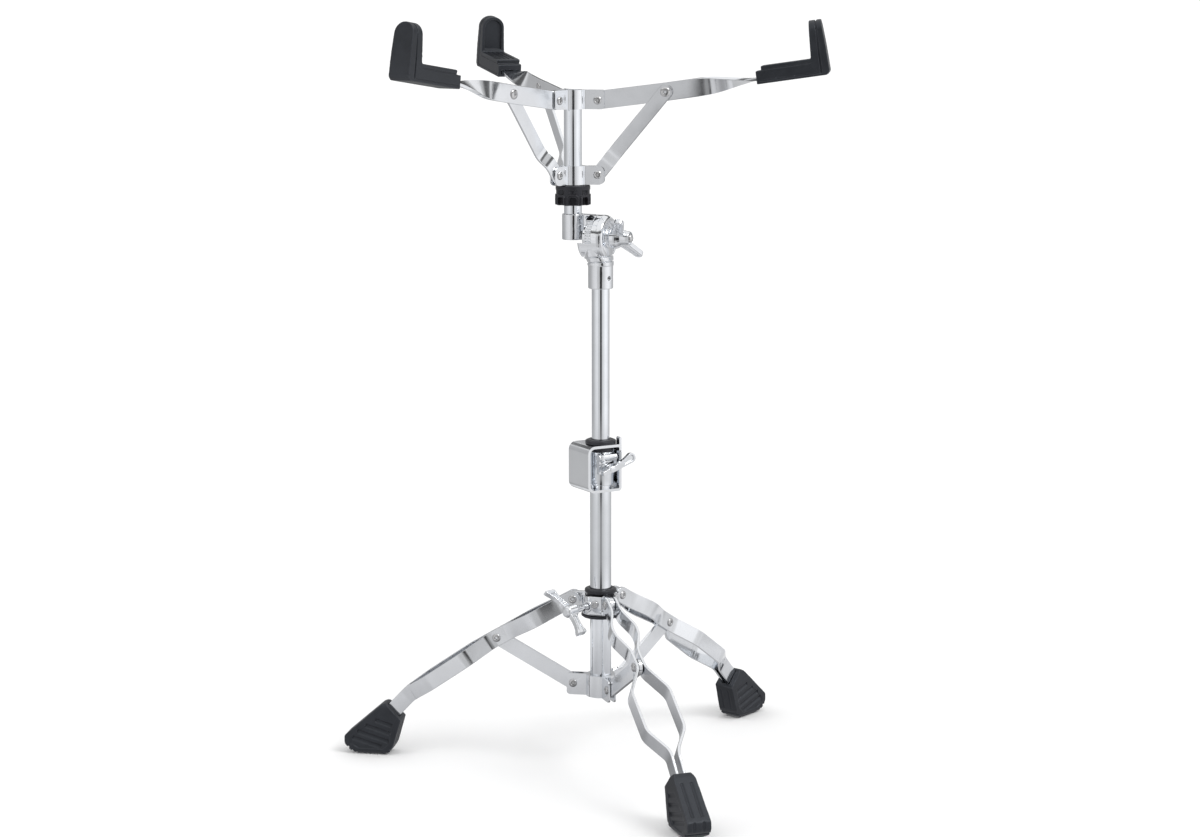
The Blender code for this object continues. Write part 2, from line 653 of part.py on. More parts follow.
flutes = []
for i in range(8):
    a = 45.0 * i + ARM_AZ[0]
    flutes += arc(0, 0, KNOB_R, a + 9, a + 36, 4)
    m = math.radians(a + 45)
    flutes.append(((KNOB_R - 2.0) * math.cos(m - 0.10), (KNOB_R - 2.0) * math.sin(m - 0.10)))
    flutes.append(((KNOB_R - 2.0) * math.cos(m + 0.10), (KNOB_R - 2.0) * math.sin(m + 0.10)))
knob = plate("basket_knob", flutes, [circle(0, 0, 8.3, 28)], KNOB_Z[1] - KNOB_Z[0],
             rod_m @ Matrix.Translation((0, 0, sum(KNOB_Z) / 2 * MM)), "plastic")

mount_on(tilt_em, upper_cast, rod, upper_hub)
low_em = empty("slide_hub_frame", ROD[0], ROD[1], HUB_LOW_Z[0])
mount_on(low_em, slide_hub)
knob_em = empty("knob_frame", ROD[0], ROD[1], KNOB_Z[0])
mount_on(knob_em, knob)

GRIP_IN = 161.2            # inner end of a grip, from the rod axis
STRUT_SIDE = -(ARM_T / 2 + 0.35 + STRUT_T / 2)
STRUT_CUT = 5.8            # clearance left about the strut's lower pin


def arm_line(x):
    return interp(x, ((HUB_PIVOT_R, ARM_PIVOT_Z), ARM_MID,
                      (240.0, ARM_MID[1] + (240.0 - ARM_MID[0]) * ARM_SLOPE)))


grip_slope = math.atan(ARM_SLOPE)
for k, az in enumerate(ARM_AZ):
    n = k + 1
    flat = frame_at(az, ROD)
    side = side_on(az, ROD)
    hub_pin = side @ Matrix.Translation((HUB_PIVOT_R * MM, ARM_PIVOT_Z * MM, 0))
    mid_pin = side @ Matrix.Translation((ARM_MID[0] * MM, ARM_MID[1] * MM, 0))
    low_pin = side @ Matrix.Translation((HUB_PIVOT_R * MM, STRUT_PIVOT_Z * MM, 0))
    arm_em = empty("arm_%d_frame" % n, *at(az, HUB_PIVOT_R, ROD), ARM_PIVOT_Z)
    strut_em = empty("strut_%d_frame" % n, *at(az, ARM_MID[0], ROD), ARM_MID[1])

    # arm: flat bar on edge that turns a quarter about its own length
    stations = [(14.9, 6.0, 0.0), (16.6, 11.0, 0.0), (19.0, 14.4, 0.0),
                (HUB_PIVOT_R, ARM_H, 0.0), (ARM_MID[0], ARM_H, 0.0),
                (100.0, ARM_H, 0.0)]
    stations += [(100.0 + 46.0 * i / 8, ARM_H, 90.0 * (i / 8) ** 1.15) for i in range(1, 9)]
    stations += [(198.0, ARM_H, 90.0)]
    rings = []
    for i, (x, h, turn) in enumerate(stations):
        slope = math.atan((ARM_MID[1] - ARM_PIVOT_Z) / (ARM_MID[0] - HUB_PIVOT_R)) \
            if x < ARM_MID[0] else grip_slope
        ux, uz = -math.sin(slope), math.cos(slope)
        c, s = math.cos(math.radians(turn)), math.sin(math.radians(turn))
        z = arm_line(x)
        ring = []
        for st, sh in ((-1, -1), (1, -1), (1, 1), (-1, 1)):
            e, f = st * ARM_T / 2, sh * h / 2
            up, lat = f * c + e * s, e * c - f * s
            ring.append((x + up * ux, lat, z + up * uz))
        rings.append(ring)
    arm = link("arm_%d" % n, loft_mesh("arm", rings), flat, "chrome", 18)
    boolean(arm, cutter("arm_hub_hole_%d" % n, cyl_mesh("pin", HOLE_R, 12, 12), hub_pin))
    boolean(arm, cutter("arm_mid_hole_%d" % n, cyl_mesh("pin", HOLE_R, 12, 12), mid_pin))

    # grip: L of rubber, square to the outer arm, tongue rounded at the top
    g = side @ Matrix.Translation((GRIP_IN * MM, arm_line(GRIP_IN) * MM, 0)) \
        @ Matrix.Rotation(grip_slope, 4, 'Z')
    ell = [(0.0, -4.4), (60.4, -4.4), (62.8, -2.2), (63.2, 1.2), (62.4, 20.0),
           (60.8, 43.4), (50.2, 43.6), (48.4, 10.9), (5.0, 10.9), (5.0, 7.0),
           (0.0, 7.0)]
    grip = plate("grip_%d" % n, ell, [], 30.0, g, "rubber")
    tongue = [(-11.2, -8.0), (11.2, -8.0), (11.2, 12.0), (10.4, 33.6)]
    tongue += [(10.4 * math.cos(a), 33.6 + 9.7 * math.sin(a))
               for a in (math.pi * i / 10 for i in range(1, 10))]
    tongue += [(-10.4, 33.6), (-11.2, 12.0)]
    boolean(grip, cutter("grip_tongue_%d" % n, flat_mesh("tongue", tongue, [], 160.0),
                         g @ Matrix.Rotation(math.radians(90), 4, 'Y')), 'INTERSECT')
    boolean(grip, cutter("grip_pocket_%d" % n,
                         box_mesh("pocket", (-10.0, -ARM_T / 2 - 0.35, -ARM_H / 2 - 0.35),
                                  (37.8, ARM_T / 2 + 0.35, ARM_H / 2 + 0.35)), g))
    mount_on(arm_em, arm, grip)

    # strut: flat bar from the sliding hub to the arm, stepped sideways to
    # lie against the arm; cut clear of the lower pin
    dx, dz = ARM_MID[0] - HUB_PIVOT_R, ARM_MID[1] - STRUT_PIVOT_Z
    reach = math.hypot(dx, dz)
    lean = math.atan2(dz, dx)
    rows = [(STRUT_CUT, 0.0, STRUT_W), (15.0, 0.0, STRUT_W),
            (25.0, STRUT_SIDE - 2.3, STRUT_W), (reach - 9.0, STRUT_SIDE, STRUT_W),
            (reach, STRUT_SIDE, STRUT_W),
            (reach + 3.2, STRUT_SIDE, STRUT_W - 1.8), (reach + 5.3, STRUT_SIDE, STRUT_W - 5.6),
            (reach + 6.2, STRUT_SIDE, 3.2)]
    rings = bar_rings([(s, 0.0) for s, y, h in rows], [y for s, y, h in rows],
                      [h for s, y, h in rows], STRUT_T)
    strut = link("strut_%d" % n, loft_mesh("strut", rings),
                 flat @ Matrix.Translation((HUB_PIVOT_R * MM, 0, STRUT_PIVOT_Z * MM))
                 @ Matrix.Rotation(-lean, 4, 'Y'), "chrome", 18)
    boolean(strut, cutter("strut_mid_hole_%d" % n, cyl_mesh("pin", HOLE_R, 20, 12), mid_pin))
    mount_on(strut_em, strut)

    hub_rivet = rivet("rivet_arm_hub_%d" % n, hub_pin, -ARM_GAP - 1.5, ARM_GAP + 1.5)
    mid_rivet = rivet("rivet_arm_mid_%d" % n, mid_pin, -ARM_T / 2,
                      ARM_T / 2 + 0.35 + STRUT_T)
    low_rivet = rivet("rivet_strut_%d" % n, low_pin, -ARM_GAP - 1.5, ARM_GAP + 1.5)
    mount_on(tilt_em, hub_rivet)
    mount_on(arm_em, mid_rivet)
    mount_on(low_em, low_rivet)
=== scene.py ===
"""Looks of the folding snare drum stand: chrome tube, stamped strip, castings,
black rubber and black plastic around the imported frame.

All lengths in the helpers are millimetres, scaled by MM when a mesh is made.
"""
import bpy
import bmesh
import math
from mathutils import Matrix, Vector

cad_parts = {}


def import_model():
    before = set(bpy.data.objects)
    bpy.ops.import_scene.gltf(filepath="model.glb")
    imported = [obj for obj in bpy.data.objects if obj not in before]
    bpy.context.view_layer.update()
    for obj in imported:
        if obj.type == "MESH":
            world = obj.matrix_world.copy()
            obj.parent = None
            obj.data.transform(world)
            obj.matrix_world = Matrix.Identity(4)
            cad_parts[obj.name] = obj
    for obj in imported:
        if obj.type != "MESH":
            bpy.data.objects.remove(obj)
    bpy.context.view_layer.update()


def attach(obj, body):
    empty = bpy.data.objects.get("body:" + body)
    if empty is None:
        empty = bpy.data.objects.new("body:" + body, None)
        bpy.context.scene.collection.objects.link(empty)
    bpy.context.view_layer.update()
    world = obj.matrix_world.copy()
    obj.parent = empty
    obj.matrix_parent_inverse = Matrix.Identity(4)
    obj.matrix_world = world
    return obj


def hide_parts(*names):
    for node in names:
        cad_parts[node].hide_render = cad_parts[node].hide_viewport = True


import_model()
MM = 0.001

# ------------------------------------------------------------------ dimensions
LEG_AZ = (-90.0, 30.0, 150.0)
PIVOT_R, TOP_Z, LOW_Z = 24.7, 152.4, 74.6
MID = (94.9, 113.5)
LEG_BEND, LEG_END = (176.3, 57.3), (196.8, 35.4)
STRIP_H, STRIP_T = 14.5, 2.5
STRIP_PLAN = ((17.6, 4.1), (38.0, 4.1), (54.5, 11.0), (64.0, 11.0),
              (82.0, 3.2), (100.0, 3.2), (121.0, 17.3), (157.0, 17.3),
              (176.3, 3.3), (196.8, 3.3))
SCREW_AZ, SCREW_Z = -150.0, 149.0
CLAMP_AZ = 10.0
TILT_AZ, TILT_Z, ROD_OFF = -45.0, 477.5, 26.8
ARM_AZ = (-28.2, 91.8, -148.2)
HUB_R, ARM_Z, ARM_MID, STRUT_Z = 22.2, 596.4, (81.6, 604.0), 531.7
ARM_H, ARM_T, SLOPE = 16.0, 3.0, 0.143
STRUT_W, STRUT_T = 12.7, 2.8
GRIP_IN = 161.2


# ------------------------------------------------------------------- materials
def node(nt, kind, x, y, **inputs):
    n = nt.nodes.new(kind)
    n.location = (x, y)
    for k, v in inputs.items():
        n.inputs[k.replace("_", " ")].default_value = v
    return n


def base_material(name):
    m = bpy.data.materials.new(name)
    m.use_nodes = True
    nt = m.node_tree
    nt.nodes.clear()
    out = node(nt, "ShaderNodeOutputMaterial", 600, 0)
    b = node(nt, "ShaderNodeBsdfPrincipled", 300, 0)
    nt.links.new(b.outputs["BSDF"], out.inputs["Surface"])
    tc = node(nt, "ShaderNodeTexCoord", -1100, 0)
    return m, nt, b, tc


def mapping(nt, tc, scale, x=-900, y=0):
    mp = node(nt, "ShaderNodeMapping", x, y)
    mp.inputs["Scale"].default_value = scale
    nt.links.new(tc.outputs["Object"], mp.inputs["Vector"])
    return mp


def noise(nt, src, scale, detail=3.0, rough=0.5, x=-700, y=0):
    n = node(nt, "ShaderNodeTexNoise", x, y, Scale=scale, Detail=detail, Roughness=rough)
    nt.links.new(src.outputs["Vector"] if "Vector" in src.outputs else src.outputs["Object"],
                 n.inputs["Vector"])
    return n


def remap(nt, src, a, b, c, d, x=-450, y=0):
    r = node(nt, "ShaderNodeMapRange", x, y)
    r.inputs["From Min"].default_value = a
    r.inputs["From Max"].default_value = b
    r.inputs["To Min"].default_value = c
    r.inputs["To Max"].default_value = d
    nt.links.new(src, r.inputs["Value"])
    return r


def ramp(nt, src, stops, x=-300, y=200):
    r = node(nt, "ShaderNodeValToRGB", x, y)
    el = r.color_ramp.elements
    el[0].position, el[0].color = stops[0][0], (*stops[0][1], 1)
    el[1].position, el[1].color = stops[-1][0], (*stops[-1][1], 1)
    for p, c in stops[1:-1]:
        e = el.new(p)
        e.color = (*c, 1)
    nt.links.new(src, r.inputs["Fac"])
    return r


def bumps(nt, b, parts, y=-350):
    """Chained bumps; parts are (height socket, strength, distance in metres)."""
    last = None
    for i, (h, s, d) in enumerate(parts):
        bp = node(nt, "ShaderNodeBump", -150 + 150 * i, y)
        bp.inputs["Strength"].default_value = s
        bp.inputs["Distance"].default_value = d
        nt.links.new(h, bp.inputs["Height"])
        if last:
            nt.links.new(last.outputs["Normal"], bp.inputs["Normal"])
        last = bp
    nt.links.new(last.outputs["Normal"], b.inputs["Normal"])


def chrome(name, tint, rough, wave, wave_scale, scratch=(1, 1, 1)):
    """Plated steel: even bright base with faint clouding, fine polishing lines,
    slow waviness of the metal under the plate."""
    m, nt, b, tc = base_material(name)
    b.inputs["Metallic"].default_value = 1.0
    plain = mapping(nt, tc, (1, 1, 1), y=300)
    cloud = noise(nt, plain, 38.0, 4.0, 0.55, y=300)
    lo = tuple(c * 0.93 for c in tint)
    col = ramp(nt, cloud.outputs["Fac"], ((0.30, lo), (0.62, tint)), y=300)
    # Convex edges get a brighter base colour: partly wear, partly painted edge highlight.
    edge = node(nt, "ShaderNodeNewGeometry", -700, 560)
    wear_and_edge_highlight = remap(nt, edge.outputs["Pointiness"], 0.52, 0.60, 0.0, 0.5, y=560)
    mix = node(nt, "ShaderNodeMix", -20, 350)
    mix.data_type = 'RGBA'
    nt.links.new(wear_and_edge_highlight.outputs["Result"], mix.inputs["Factor"])
    nt.links.new(col.outputs["Color"], mix.inputs["A"])
    mix.inputs["B"].default_value = (min(1, tint[0] * 1.1), min(1, tint[1] * 1.1),
                                     min(1, tint[2] * 1.1), 1)
    nt.links.new(mix.outputs["Result"], b.inputs["Base Color"])
    lines = mapping(nt, tc, scratch, y=0)
    fine = noise(nt, lines, 900.0, 2.0, 0.6, y=0)
    smudge = noise(nt, plain, 75.0, 5.0, 0.6, y=-180)
    rr = remap(nt, smudge.outputs["Fac"], 0.35, 0.75, rough, rough * 1.9, y=-180)
    nt.links.new(rr.outputs["Result"], b.inputs["Roughness"])
    slow = noise(nt, plain, wave_scale, 1.0, 0.4, y=-420)
    bumps(nt, b, [(slow.outputs["Fac"], wave, 0.0006), (fine.outputs["Fac"], 0.02, 0.00004)])
    return m


def dark(name, lo, hi, rough, grain, grain_scale, edge_wear_highlight_tint, spec=0.4):
    """Moulded black rubber or plastic: grain, dusty patches, paler convex edges that are partly wear and partly
    painted edge highlight.
    """
    m, nt, b, tc = base_material(name)
    b.inputs["Specular IOR Level"].default_value = spec
    b.inputs["Specular Tint"].default_value = (0.85, 0.91, 1.0, 1)
    plain = mapping(nt, tc, (1, 1, 1), y=300)
    patch = noise(nt, plain, 55.0, 5.0, 0.6, y=300)
    col = ramp(nt, patch.outputs["Fac"], ((0.32, lo), (0.70, hi)), y=300)
    # Paler convex edges: partly wear, partly painted edge highlight.
    edge = node(nt, "ShaderNodeNewGeometry", -700, 560)
    wear_and_edge_highlight = remap(nt, edge.outputs["Pointiness"], 0.51, 0.58, 0.0, 0.75, y=560)
    mix = node(nt, "ShaderNodeMix", -20, 350)
    mix.data_type = 'RGBA'
    nt.links.new(wear_and_edge_highlight.outputs["Result"], mix.inputs["Factor"])
    nt.links.new(col.outputs["Color"], mix.inputs["A"])
    mix.inputs["B"].default_value = (*edge_wear_highlight_tint, 1)
    nt.links.new(mix.outputs["Result"], b.inputs["Base Color"])
    rr = remap(nt, patch.outputs["Fac"], 0.3, 0.7, rough, min(1.0, rough * 1.25), y=60)
    nt.links.new(rr.outputs["Result"], b.inputs["Roughness"])
    g = noise(nt, plain, grain_scale, 4.0, 0.65, y=-200)
    v = node(nt, "ShaderNodeTexVoronoi", -700, -420, Scale=grain_scale * 0.6)
    nt.links.new(plain.outputs["Vector"], v.inputs["Vector"])
    bumps(nt, b, [(g.outputs["Fac"], grain, 0.00025), (v.outputs["Distance"], grain * 0.5, 0.0002)])
    return m


TUBE = chrome("chrome_tube", (0.880, 0.905, 0.940), 0.055, 0.010, 45.0, (1, 1, 0.02))
STRIP = chrome("chrome_strip", (0.855, 0.872, 0.897), 0.10, 0.05, 70.0, (0.4, 0.4, 1))
CAST = chrome("chrome_casting", (0.855, 0.872, 0.897), 0.07, 0.22, 170.0)
STEEL = chrome("bright_steel", (0.60, 0.60, 0.605), 0.17, 0.12, 220.0)
# The last colour of each is the paler edge tint: partly wear, partly painted edge highlight.
RUBBER = dark("black_rubber", (0.005, 0.0055, 0.0075), (0.0125, 0.0135, 0.0175), 0.38, 0.35, 1500.0,
              (0.062, 0.065, 0.074), 0.60)
PLASTIC = dark("black_plastic", (0.010, 0.009, 0.011), (0.020, 0.019, 0.022), 0.30, 0.14, 1100.0,
               (0.07, 0.069, 0.076), 0.4)
FINISH = {"chrome": TUBE, "strip": STRIP, "cast": CAST, "steel": STEEL, "rubber": RUBBER,
          "plastic": PLASTIC}


# ---------------------------------------------------------------------- frames
def frame_at(az, base=(0.0, 0.0), z=0.0):
    """x outward at this azimuth, y sideways (to the left), z up."""
    return (Matrix.Translation((base[0] * MM, base[1] * MM, z * MM))
            @ Matrix.Rotation(math.radians(az), 4, 'Z'))


def side_on(az, base=(0.0, 0.0)):
    """x outward at this azimuth, y up, z towards the right-hand side."""
    return frame_at(az, base) @ Matrix.Rotation(math.radians(90), 4, 'X')


def shift(x, y, z):
    return Matrix.Translation((x * MM, y * MM, z * MM))


def rot(deg, axis):
    return Matrix.Rotation(math.radians(deg), 4, axis)


def at(az, r, base=(0.0, 0.0)):
    a = math.radians(az)
    return base[0] + r * math.cos(a), base[1] + r * math.sin(a)


ROD = at(TILT_AZ, -ROD_OFF)
EYE = Matrix.Identity(4)


# --------------------------------------------------------------------- outlines
def arc(cx, cy, r, a0, a1, n):
    return [(cx + r * math.cos(math.radians(a0 + (a1 - a0) * i / n)),
             cy + r * math.sin(math.radians(a0 + (a1 - a0) * i / n))) for i in range(n + 1)]


def circle(cx, cy, r, n):
    return arc(cx, cy, r, 0, 360, n)[:-1]


def fillet(pts, radius, n=4, closed=True):
    """Rounds the corners of a polyline; radius is one number or one per point."""
    out, count = [], len(pts)
    for i, q in enumerate(pts):
        r = radius[i] if isinstance(radius, (list, tuple)) else radius
        if r <= 0 or (not closed and i in (0, count - 1)):
            out.append(tuple(q))
            continue
        p, a, b = Vector(q), Vector(pts[i - 1]), Vector(pts[(i + 1) % count])
        d1, d2 = a - p, b - p
        l1, l2 = d1.length, d2.length
        if l1 < 1e-6 or l2 < 1e-6:
            out.append(tuple(q))
            continue
        d1, d2 = d1 / l1, d2 / l2
        ang = math.acos(max(-1.0, min(1.0, d1.dot(d2))))
        if ang > math.radians(175):
            out.append(tuple(q))
            continue
        t = min(r / math.tan(ang / 2), 0.48 * l1, 0.48 * l2)
        r = t * math.tan(ang / 2)
        c = p + (d1 + d2).normalized() * (r / math.sin(ang / 2))
        s, e = p + d1 * t - c, p + d2 * t - c
        a0 = math.atan2(s.y, s.x)
        da = (math.atan2(e.y, e.x) - a0 + math.pi) % math.tau - math.pi
        for k in range(n + 1):
            w = a0 + da * k / n
            out.append((c.x + r * math.cos(w), c.y + r * math.sin(w)))
    return out


def interp(x, table):
    for (x0, y0), (x1, y1) in zip(table, table[1:]):
        if x <= x1:
            return y0 + (y1 - y0) * (x - x0) / (x1 - x0)
    return table[-1][1]


# ----------------------------------------------------------------------- meshes
def to_mesh(name, bm, weld=0.0):
    if weld:
        bmesh.ops.remove_doubles(bm, verts=bm.verts, dist=weld)
    bmesh.ops.recalc_face_normals(bm, faces=bm.faces)
    mesh = bpy.data.meshes.new(name)
    bm.to_mesh(mesh)
    bm.free()
    return mesh


def spin_mesh(name, prof, steps=64):
    """Turned shape from (radius, height) points; a loop when it keeps off the axis."""
    bm = bmesh.new()
    rings = []
    for r, z in prof:
        if r < 1e-6:
            rings.append([bm.verts.new((0, 0, z * MM))])
        else:
            rings.append([bm.verts.new((r * MM * math.cos(math.tau * k / steps),
                                        r * MM * math.sin(math.tau * k / steps), z * MM))
                          for k in range(steps)])
    pairs = list(zip(rings, rings[1:]))
    if min(r for r, z in prof) > 1e-6:
        pairs.append((rings[-1], rings[0]))
    for a, b in pairs:
        for k in range(steps):
            k2 = (k + 1) % steps
            if len(a) == 1 and len(b) == 1:
                continue
            if len(a) == 1:
                bm.faces.new((a[0], b[k], b[k2]))
            elif len(b) == 1:
                bm.faces.new((a[k], b[0], a[k2]))
            else:
                bm.faces.new((a[k], b[k], b[k2], a[k2]))
    return to_mesh(name, bm)


def flat_mesh(name, outline, holes, thick):
    cu = bpy.data.curves.new(name, 'CURVE')
    cu.dimensions = '2D'
    cu.fill_mode = 'BOTH'
    cu.extrude = thick * MM / 2
    for loop in [outline] + list(holes):
        sp = cu.splines.new('POLY')
        sp.points.add(len(loop) - 1)
        for p, (x, y) in zip(sp.points, loop):
            p.co = (x * MM, y * MM, 0.0, 1.0)
        sp.use_cyclic_u = True
    tmp = bpy.data.objects.new(name + "_curve", cu)
    bpy.context.scene.collection.objects.link(tmp)
    dg = bpy.context.evaluated_depsgraph_get()
    mesh = bpy.data.meshes.new_from_object(tmp.evaluated_get(dg))
    bpy.data.objects.remove(tmp, do_unlink=True)
    bpy.data.curves.remove(cu)
    bm = bmesh.new()
    bm.from_mesh(mesh)
    bpy.data.meshes.remove(mesh)
    return to_mesh(name, bm, 0.000005)


def loft_mesh(name, rings, loop=False):
    bm = bmesh.new()
    rows = [[bm.verts.new([c * MM for c in p]) for p in ring] for ring in rings]
    n = len(rows[0])
    pairs = list(zip(rows, rows[1:])) + ([(rows[-1], rows[0])] if loop else [])
    for a, b in pairs:
        for i in range(n):
            bm.faces.new((a[i], a[(i + 1) % n], b[(i + 1) % n], b[i]))
    if not loop:
        bm.faces.new(rows[0])
        bm.faces.new(rows[-1])
    return to_mesh(name, bm)


def box_mesh(name, lo, hi):
    bm = bmesh.new()
    bmesh.ops.create_cube(bm, size=1.0)
    for v in bm.verts:
        v.co = [((lo[k] + hi[k]) / 2 + v.co[k] * (hi[k] - lo[k])) * MM for k in range(3)]
    return to_mesh(name, bm)


def cyl_mesh(name, r, depth, steps=48, r2=None):
    bm = bmesh.new()
    bmesh.ops.create_cone(bm, cap_ends=True, segments=steps, radius1=r * MM,
                          radius2=(r if r2 is None else r2) * MM, depth=depth * MM)
    return to_mesh(name, bm)


def obj(name, mesh, matrix=EYE):
    mesh.transform(matrix)
    ob = bpy.data.objects.new(name, mesh)
    bpy.context.scene.collection.objects.link(ob)
    return ob


def boolean(ob, mesh, matrix, how='DIFFERENCE'):
    """Cuts or joins at once, leaving no helper behind."""
    tool = obj("tool", mesh, matrix)
    m = ob.modifiers.new("b", 'BOOLEAN')
    m.operation = how
    m.object = tool
    m.solver = 'EXACT'
    bake(ob)
    data = tool.data
    bpy.data.objects.remove(tool, do_unlink=True)
    bpy.data.meshes.remove(data)
    return ob


def many(name, mesh, matrices):
    """One mesh holding a copy of this mesh at each matrix."""
    bm = bmesh.new()
    for m in matrices:
        me = mesh.copy()
        me.transform(m)
        bm.from_mesh(me)
        bpy.data.meshes.remove(me)
    return to_mesh(name, bm)


def bake(ob):
    dg = bpy.context.evaluated_depsgraph_get()
    mesh = bpy.data.meshes.new_from_object(ob.evaluated_get(dg))
    old = ob.data
    ob.modifiers.clear()
    ob.data = mesh
    if old.users == 0:
        bpy.data.meshes.remove(old)
    mesh.name = ob.name
    return ob


def soften(ob, width, segments=3, angle=32.0):
    """Rounds the edges that stand between unlike faces."""
    bv = ob.modifiers.new("edge", 'BEVEL')
    bv.width = width * MM
    bv.segments = segments
    bv.limit_method = 'ANGLE'
    bv.angle_limit = math.radians(angle)
    bv.use_clamp_overlap = True
    bv.miter_outer = 'MITER_ARC'
    return bake(ob)


def remesh(ob, voxel, rounds, keep=1.0):
    """One flowing skin over joined shapes, as moulded or cast."""
    r = ob.modifiers.new("skin", 'REMESH')
    r.mode = 'VOXEL'
    r.voxel_size = voxel * MM
    r.adaptivity = 0.0
    s = ob.modifiers.new("relax", 'SMOOTH')
    s.factor = 0.5
    s.iterations = rounds
    if keep < 1.0:
        d = ob.modifiers.new("thin", 'DECIMATE')
        d.ratio = keep
    return bake(ob)


def place(ob, body, nodes, finish, smooth=38.0, flat_weight=True):
    """Shading, finish, and the body that the piece rides on."""
    me = ob.data
    me.materials.clear()
    me.materials.append(FINISH[finish])
    me.shade_smooth()
    me.set_sharp_from_angle(angle=math.radians(smooth))
    if flat_weight:
        wn = ob.modifiers.new("weighted", 'WEIGHTED_NORMAL')
        wn.keep_sharp = True
        wn.weight = 60
        bake(ob)
    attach(ob, body)
    if nodes:
        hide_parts(*([nodes] if isinstance(nodes, str) else nodes))
    return ob


# ------------------------------------------------------------------------ bars
def curve_path(pts, reach, n=7):
    """Rounds a 3-D polyline's corners with short parabolic bends."""
    out = []
    for i, q in enumerate(pts):
        p = Vector(q)
        if i in (0, len(pts) - 1):
            out.append(p)
            continue
        a, b = Vector(pts[i - 1]), Vector(pts[i + 1])
        if (a - p).angle(b - p) > math.radians(178.5):
            out.append(p)
            continue
        t = min(reach, 0.46 * (a - p).length, 0.46 * (b - p).length)
        s, e = p + (a - p).normalized() * t, p + (b - p).normalized() * t
        for k in range(n + 1):
            u = k / n
            out.append(s * (1 - u) ** 2 + p * (2 * u * (1 - u)) + e * u * u)
    return out


def section(w, h, r, n=2):
    r = min(r, w * 0.45, h * 0.45)
    return fillet([(-w / 2, -h / 2), (w / 2, -h / 2), (w / 2, h / 2), (-w / 2, h / 2)], r, n)


def edge_bar(name, pts, heights, thick, edge=0.5, twist=None):
    """Flat bar on edge along 3-D points; heights and twists follow the points."""
    rings = []
    for i, p in enumerate(pts):
        a, b = pts[max(0, i - 1)], pts[min(len(pts) - 1, i + 1)]
        t = (b - a).normalized()
        c = Vector((t.x, 0, t.z)).normalized()
        up = Vector((-c.z, 0, c.x))
        side = up.cross(t).normalized()
        if twist:
            w = math.radians(twist[i])
            up, side = (up * math.cos(w) - side * math.sin(w),
                        up * math.sin(w) + side * math.cos(w))
        rings.append([tuple(p + side * s + up * h)
                      for s, h in section(thick, heights[i], edge)])
    return loft_mesh(name, rings)


def round_start(first, direction, radius, steps=7):
    """Offsets and heights that round off the end of a bar about its pivot."""
    rows = []
    for k in range(steps):
        a = math.radians(84 - 84 * k / steps)
        rows.append((first - direction * radius * math.sin(a), 2 * radius * math.cos(a)))
    return rows


# ----------------------------------------------------------------------- rivets
def rivet(name, body, matrix, lo, hi, head=3.7):
    """Tubular rivet: domed heads with a rolled lip round a drilled centre."""
    a, b = lo - 0.05, hi + 0.05

    def cap(z, s):
        return [(1.2, z - s * 0.35), (1.3, z + s * 0.95), (1.75, z + s * 1.38), (2.6, z + s * 1.28),
                (head - 0.45, z + s * 0.86), (head - 0.05, z + s * 0.35), (head, z)]
    prof = [(0, b - 0.4)] + cap(b, 1) + [(2.0, b), (2.0, a)] + cap(a, -1)[::-1] + [(0, a + 0.4)]
    ob = obj(name + "_visual", spin_mesh(name, prof, 36), matrix)
    return place(ob, body, name, "steel", 50, False)


# ---------------------------------------------------------------------- column
def ring_prof(r_out, r_in, z_hi, z_lo, edge, n=4):
    return fillet([(r_out, z_hi), (r_out, z_lo), (r_in, z_lo), (r_in, z_hi)], edge, n)


place(obj("lower_tube_visual", spin_mesh("t", ring_prof(9.525, 8.2, 286.0, 66.0, 0.35), 96)),
      "root", "lower_tube", "chrome", 60, False)
place(obj("upper_tube_visual", spin_mesh("t", ring_prof(7.94, 6.6, 454.0, 170.0, 0.35), 96)),
      "mast", "upper_tube", "chrome", 60, False)
place(obj("tube_end_plug_visual",
          spin_mesh("p", [(0, 74.0)] + fillet([(0, 74.0), (7.9, 74.0), (7.9, 65.7), (9.3, 65.7),
                                               (9.3, 63.6), (0, 63.6)], 0.5, 3, False)[1:], 48)),
      "root", "tube_end_plug", "plastic", 60, False)

# --------------------------------------------------------------- wing hardware


def wing_blade(hub, root, span, tip, rise, thick, recess):
    """Swept wing with a shallow pocket on both faces; x out, y along the axis."""
    body = [(hub, -root / 2), (span - tip, rise - tip)]
    body += arc(span - tip, rise, tip, -90, 90, 14)[1:]
    body += [(hub, root / 2)]
    hole = []
    if recess:
        x0, x1 = hub + 4.2, span - tip + 0.4
        y0, y1 = rise * (x0 - hub) / (span - hub) * 0.9 + 0.2, rise
        ax, ay = x1 - x0, y1 - y0
        d = math.hypot(ax, ay)
        nx, ny = -ay / d, ax / d
        w = 1.5
        a = math.degrees(math.atan2(ay, ax))
        hole = ([(x1 + w * math.cos(math.radians(a + q)), y1 + w * math.sin(math.radians(a + q)))
                 for q in range(-90, 91, 15)]
                + [(x0 + w * 0.8 * math.cos(math.radians(a + q)),
                    y0 + w * 0.8 * math.sin(math.radians(a + q))) for q in range(90, 271, 15)])
    return body, hole


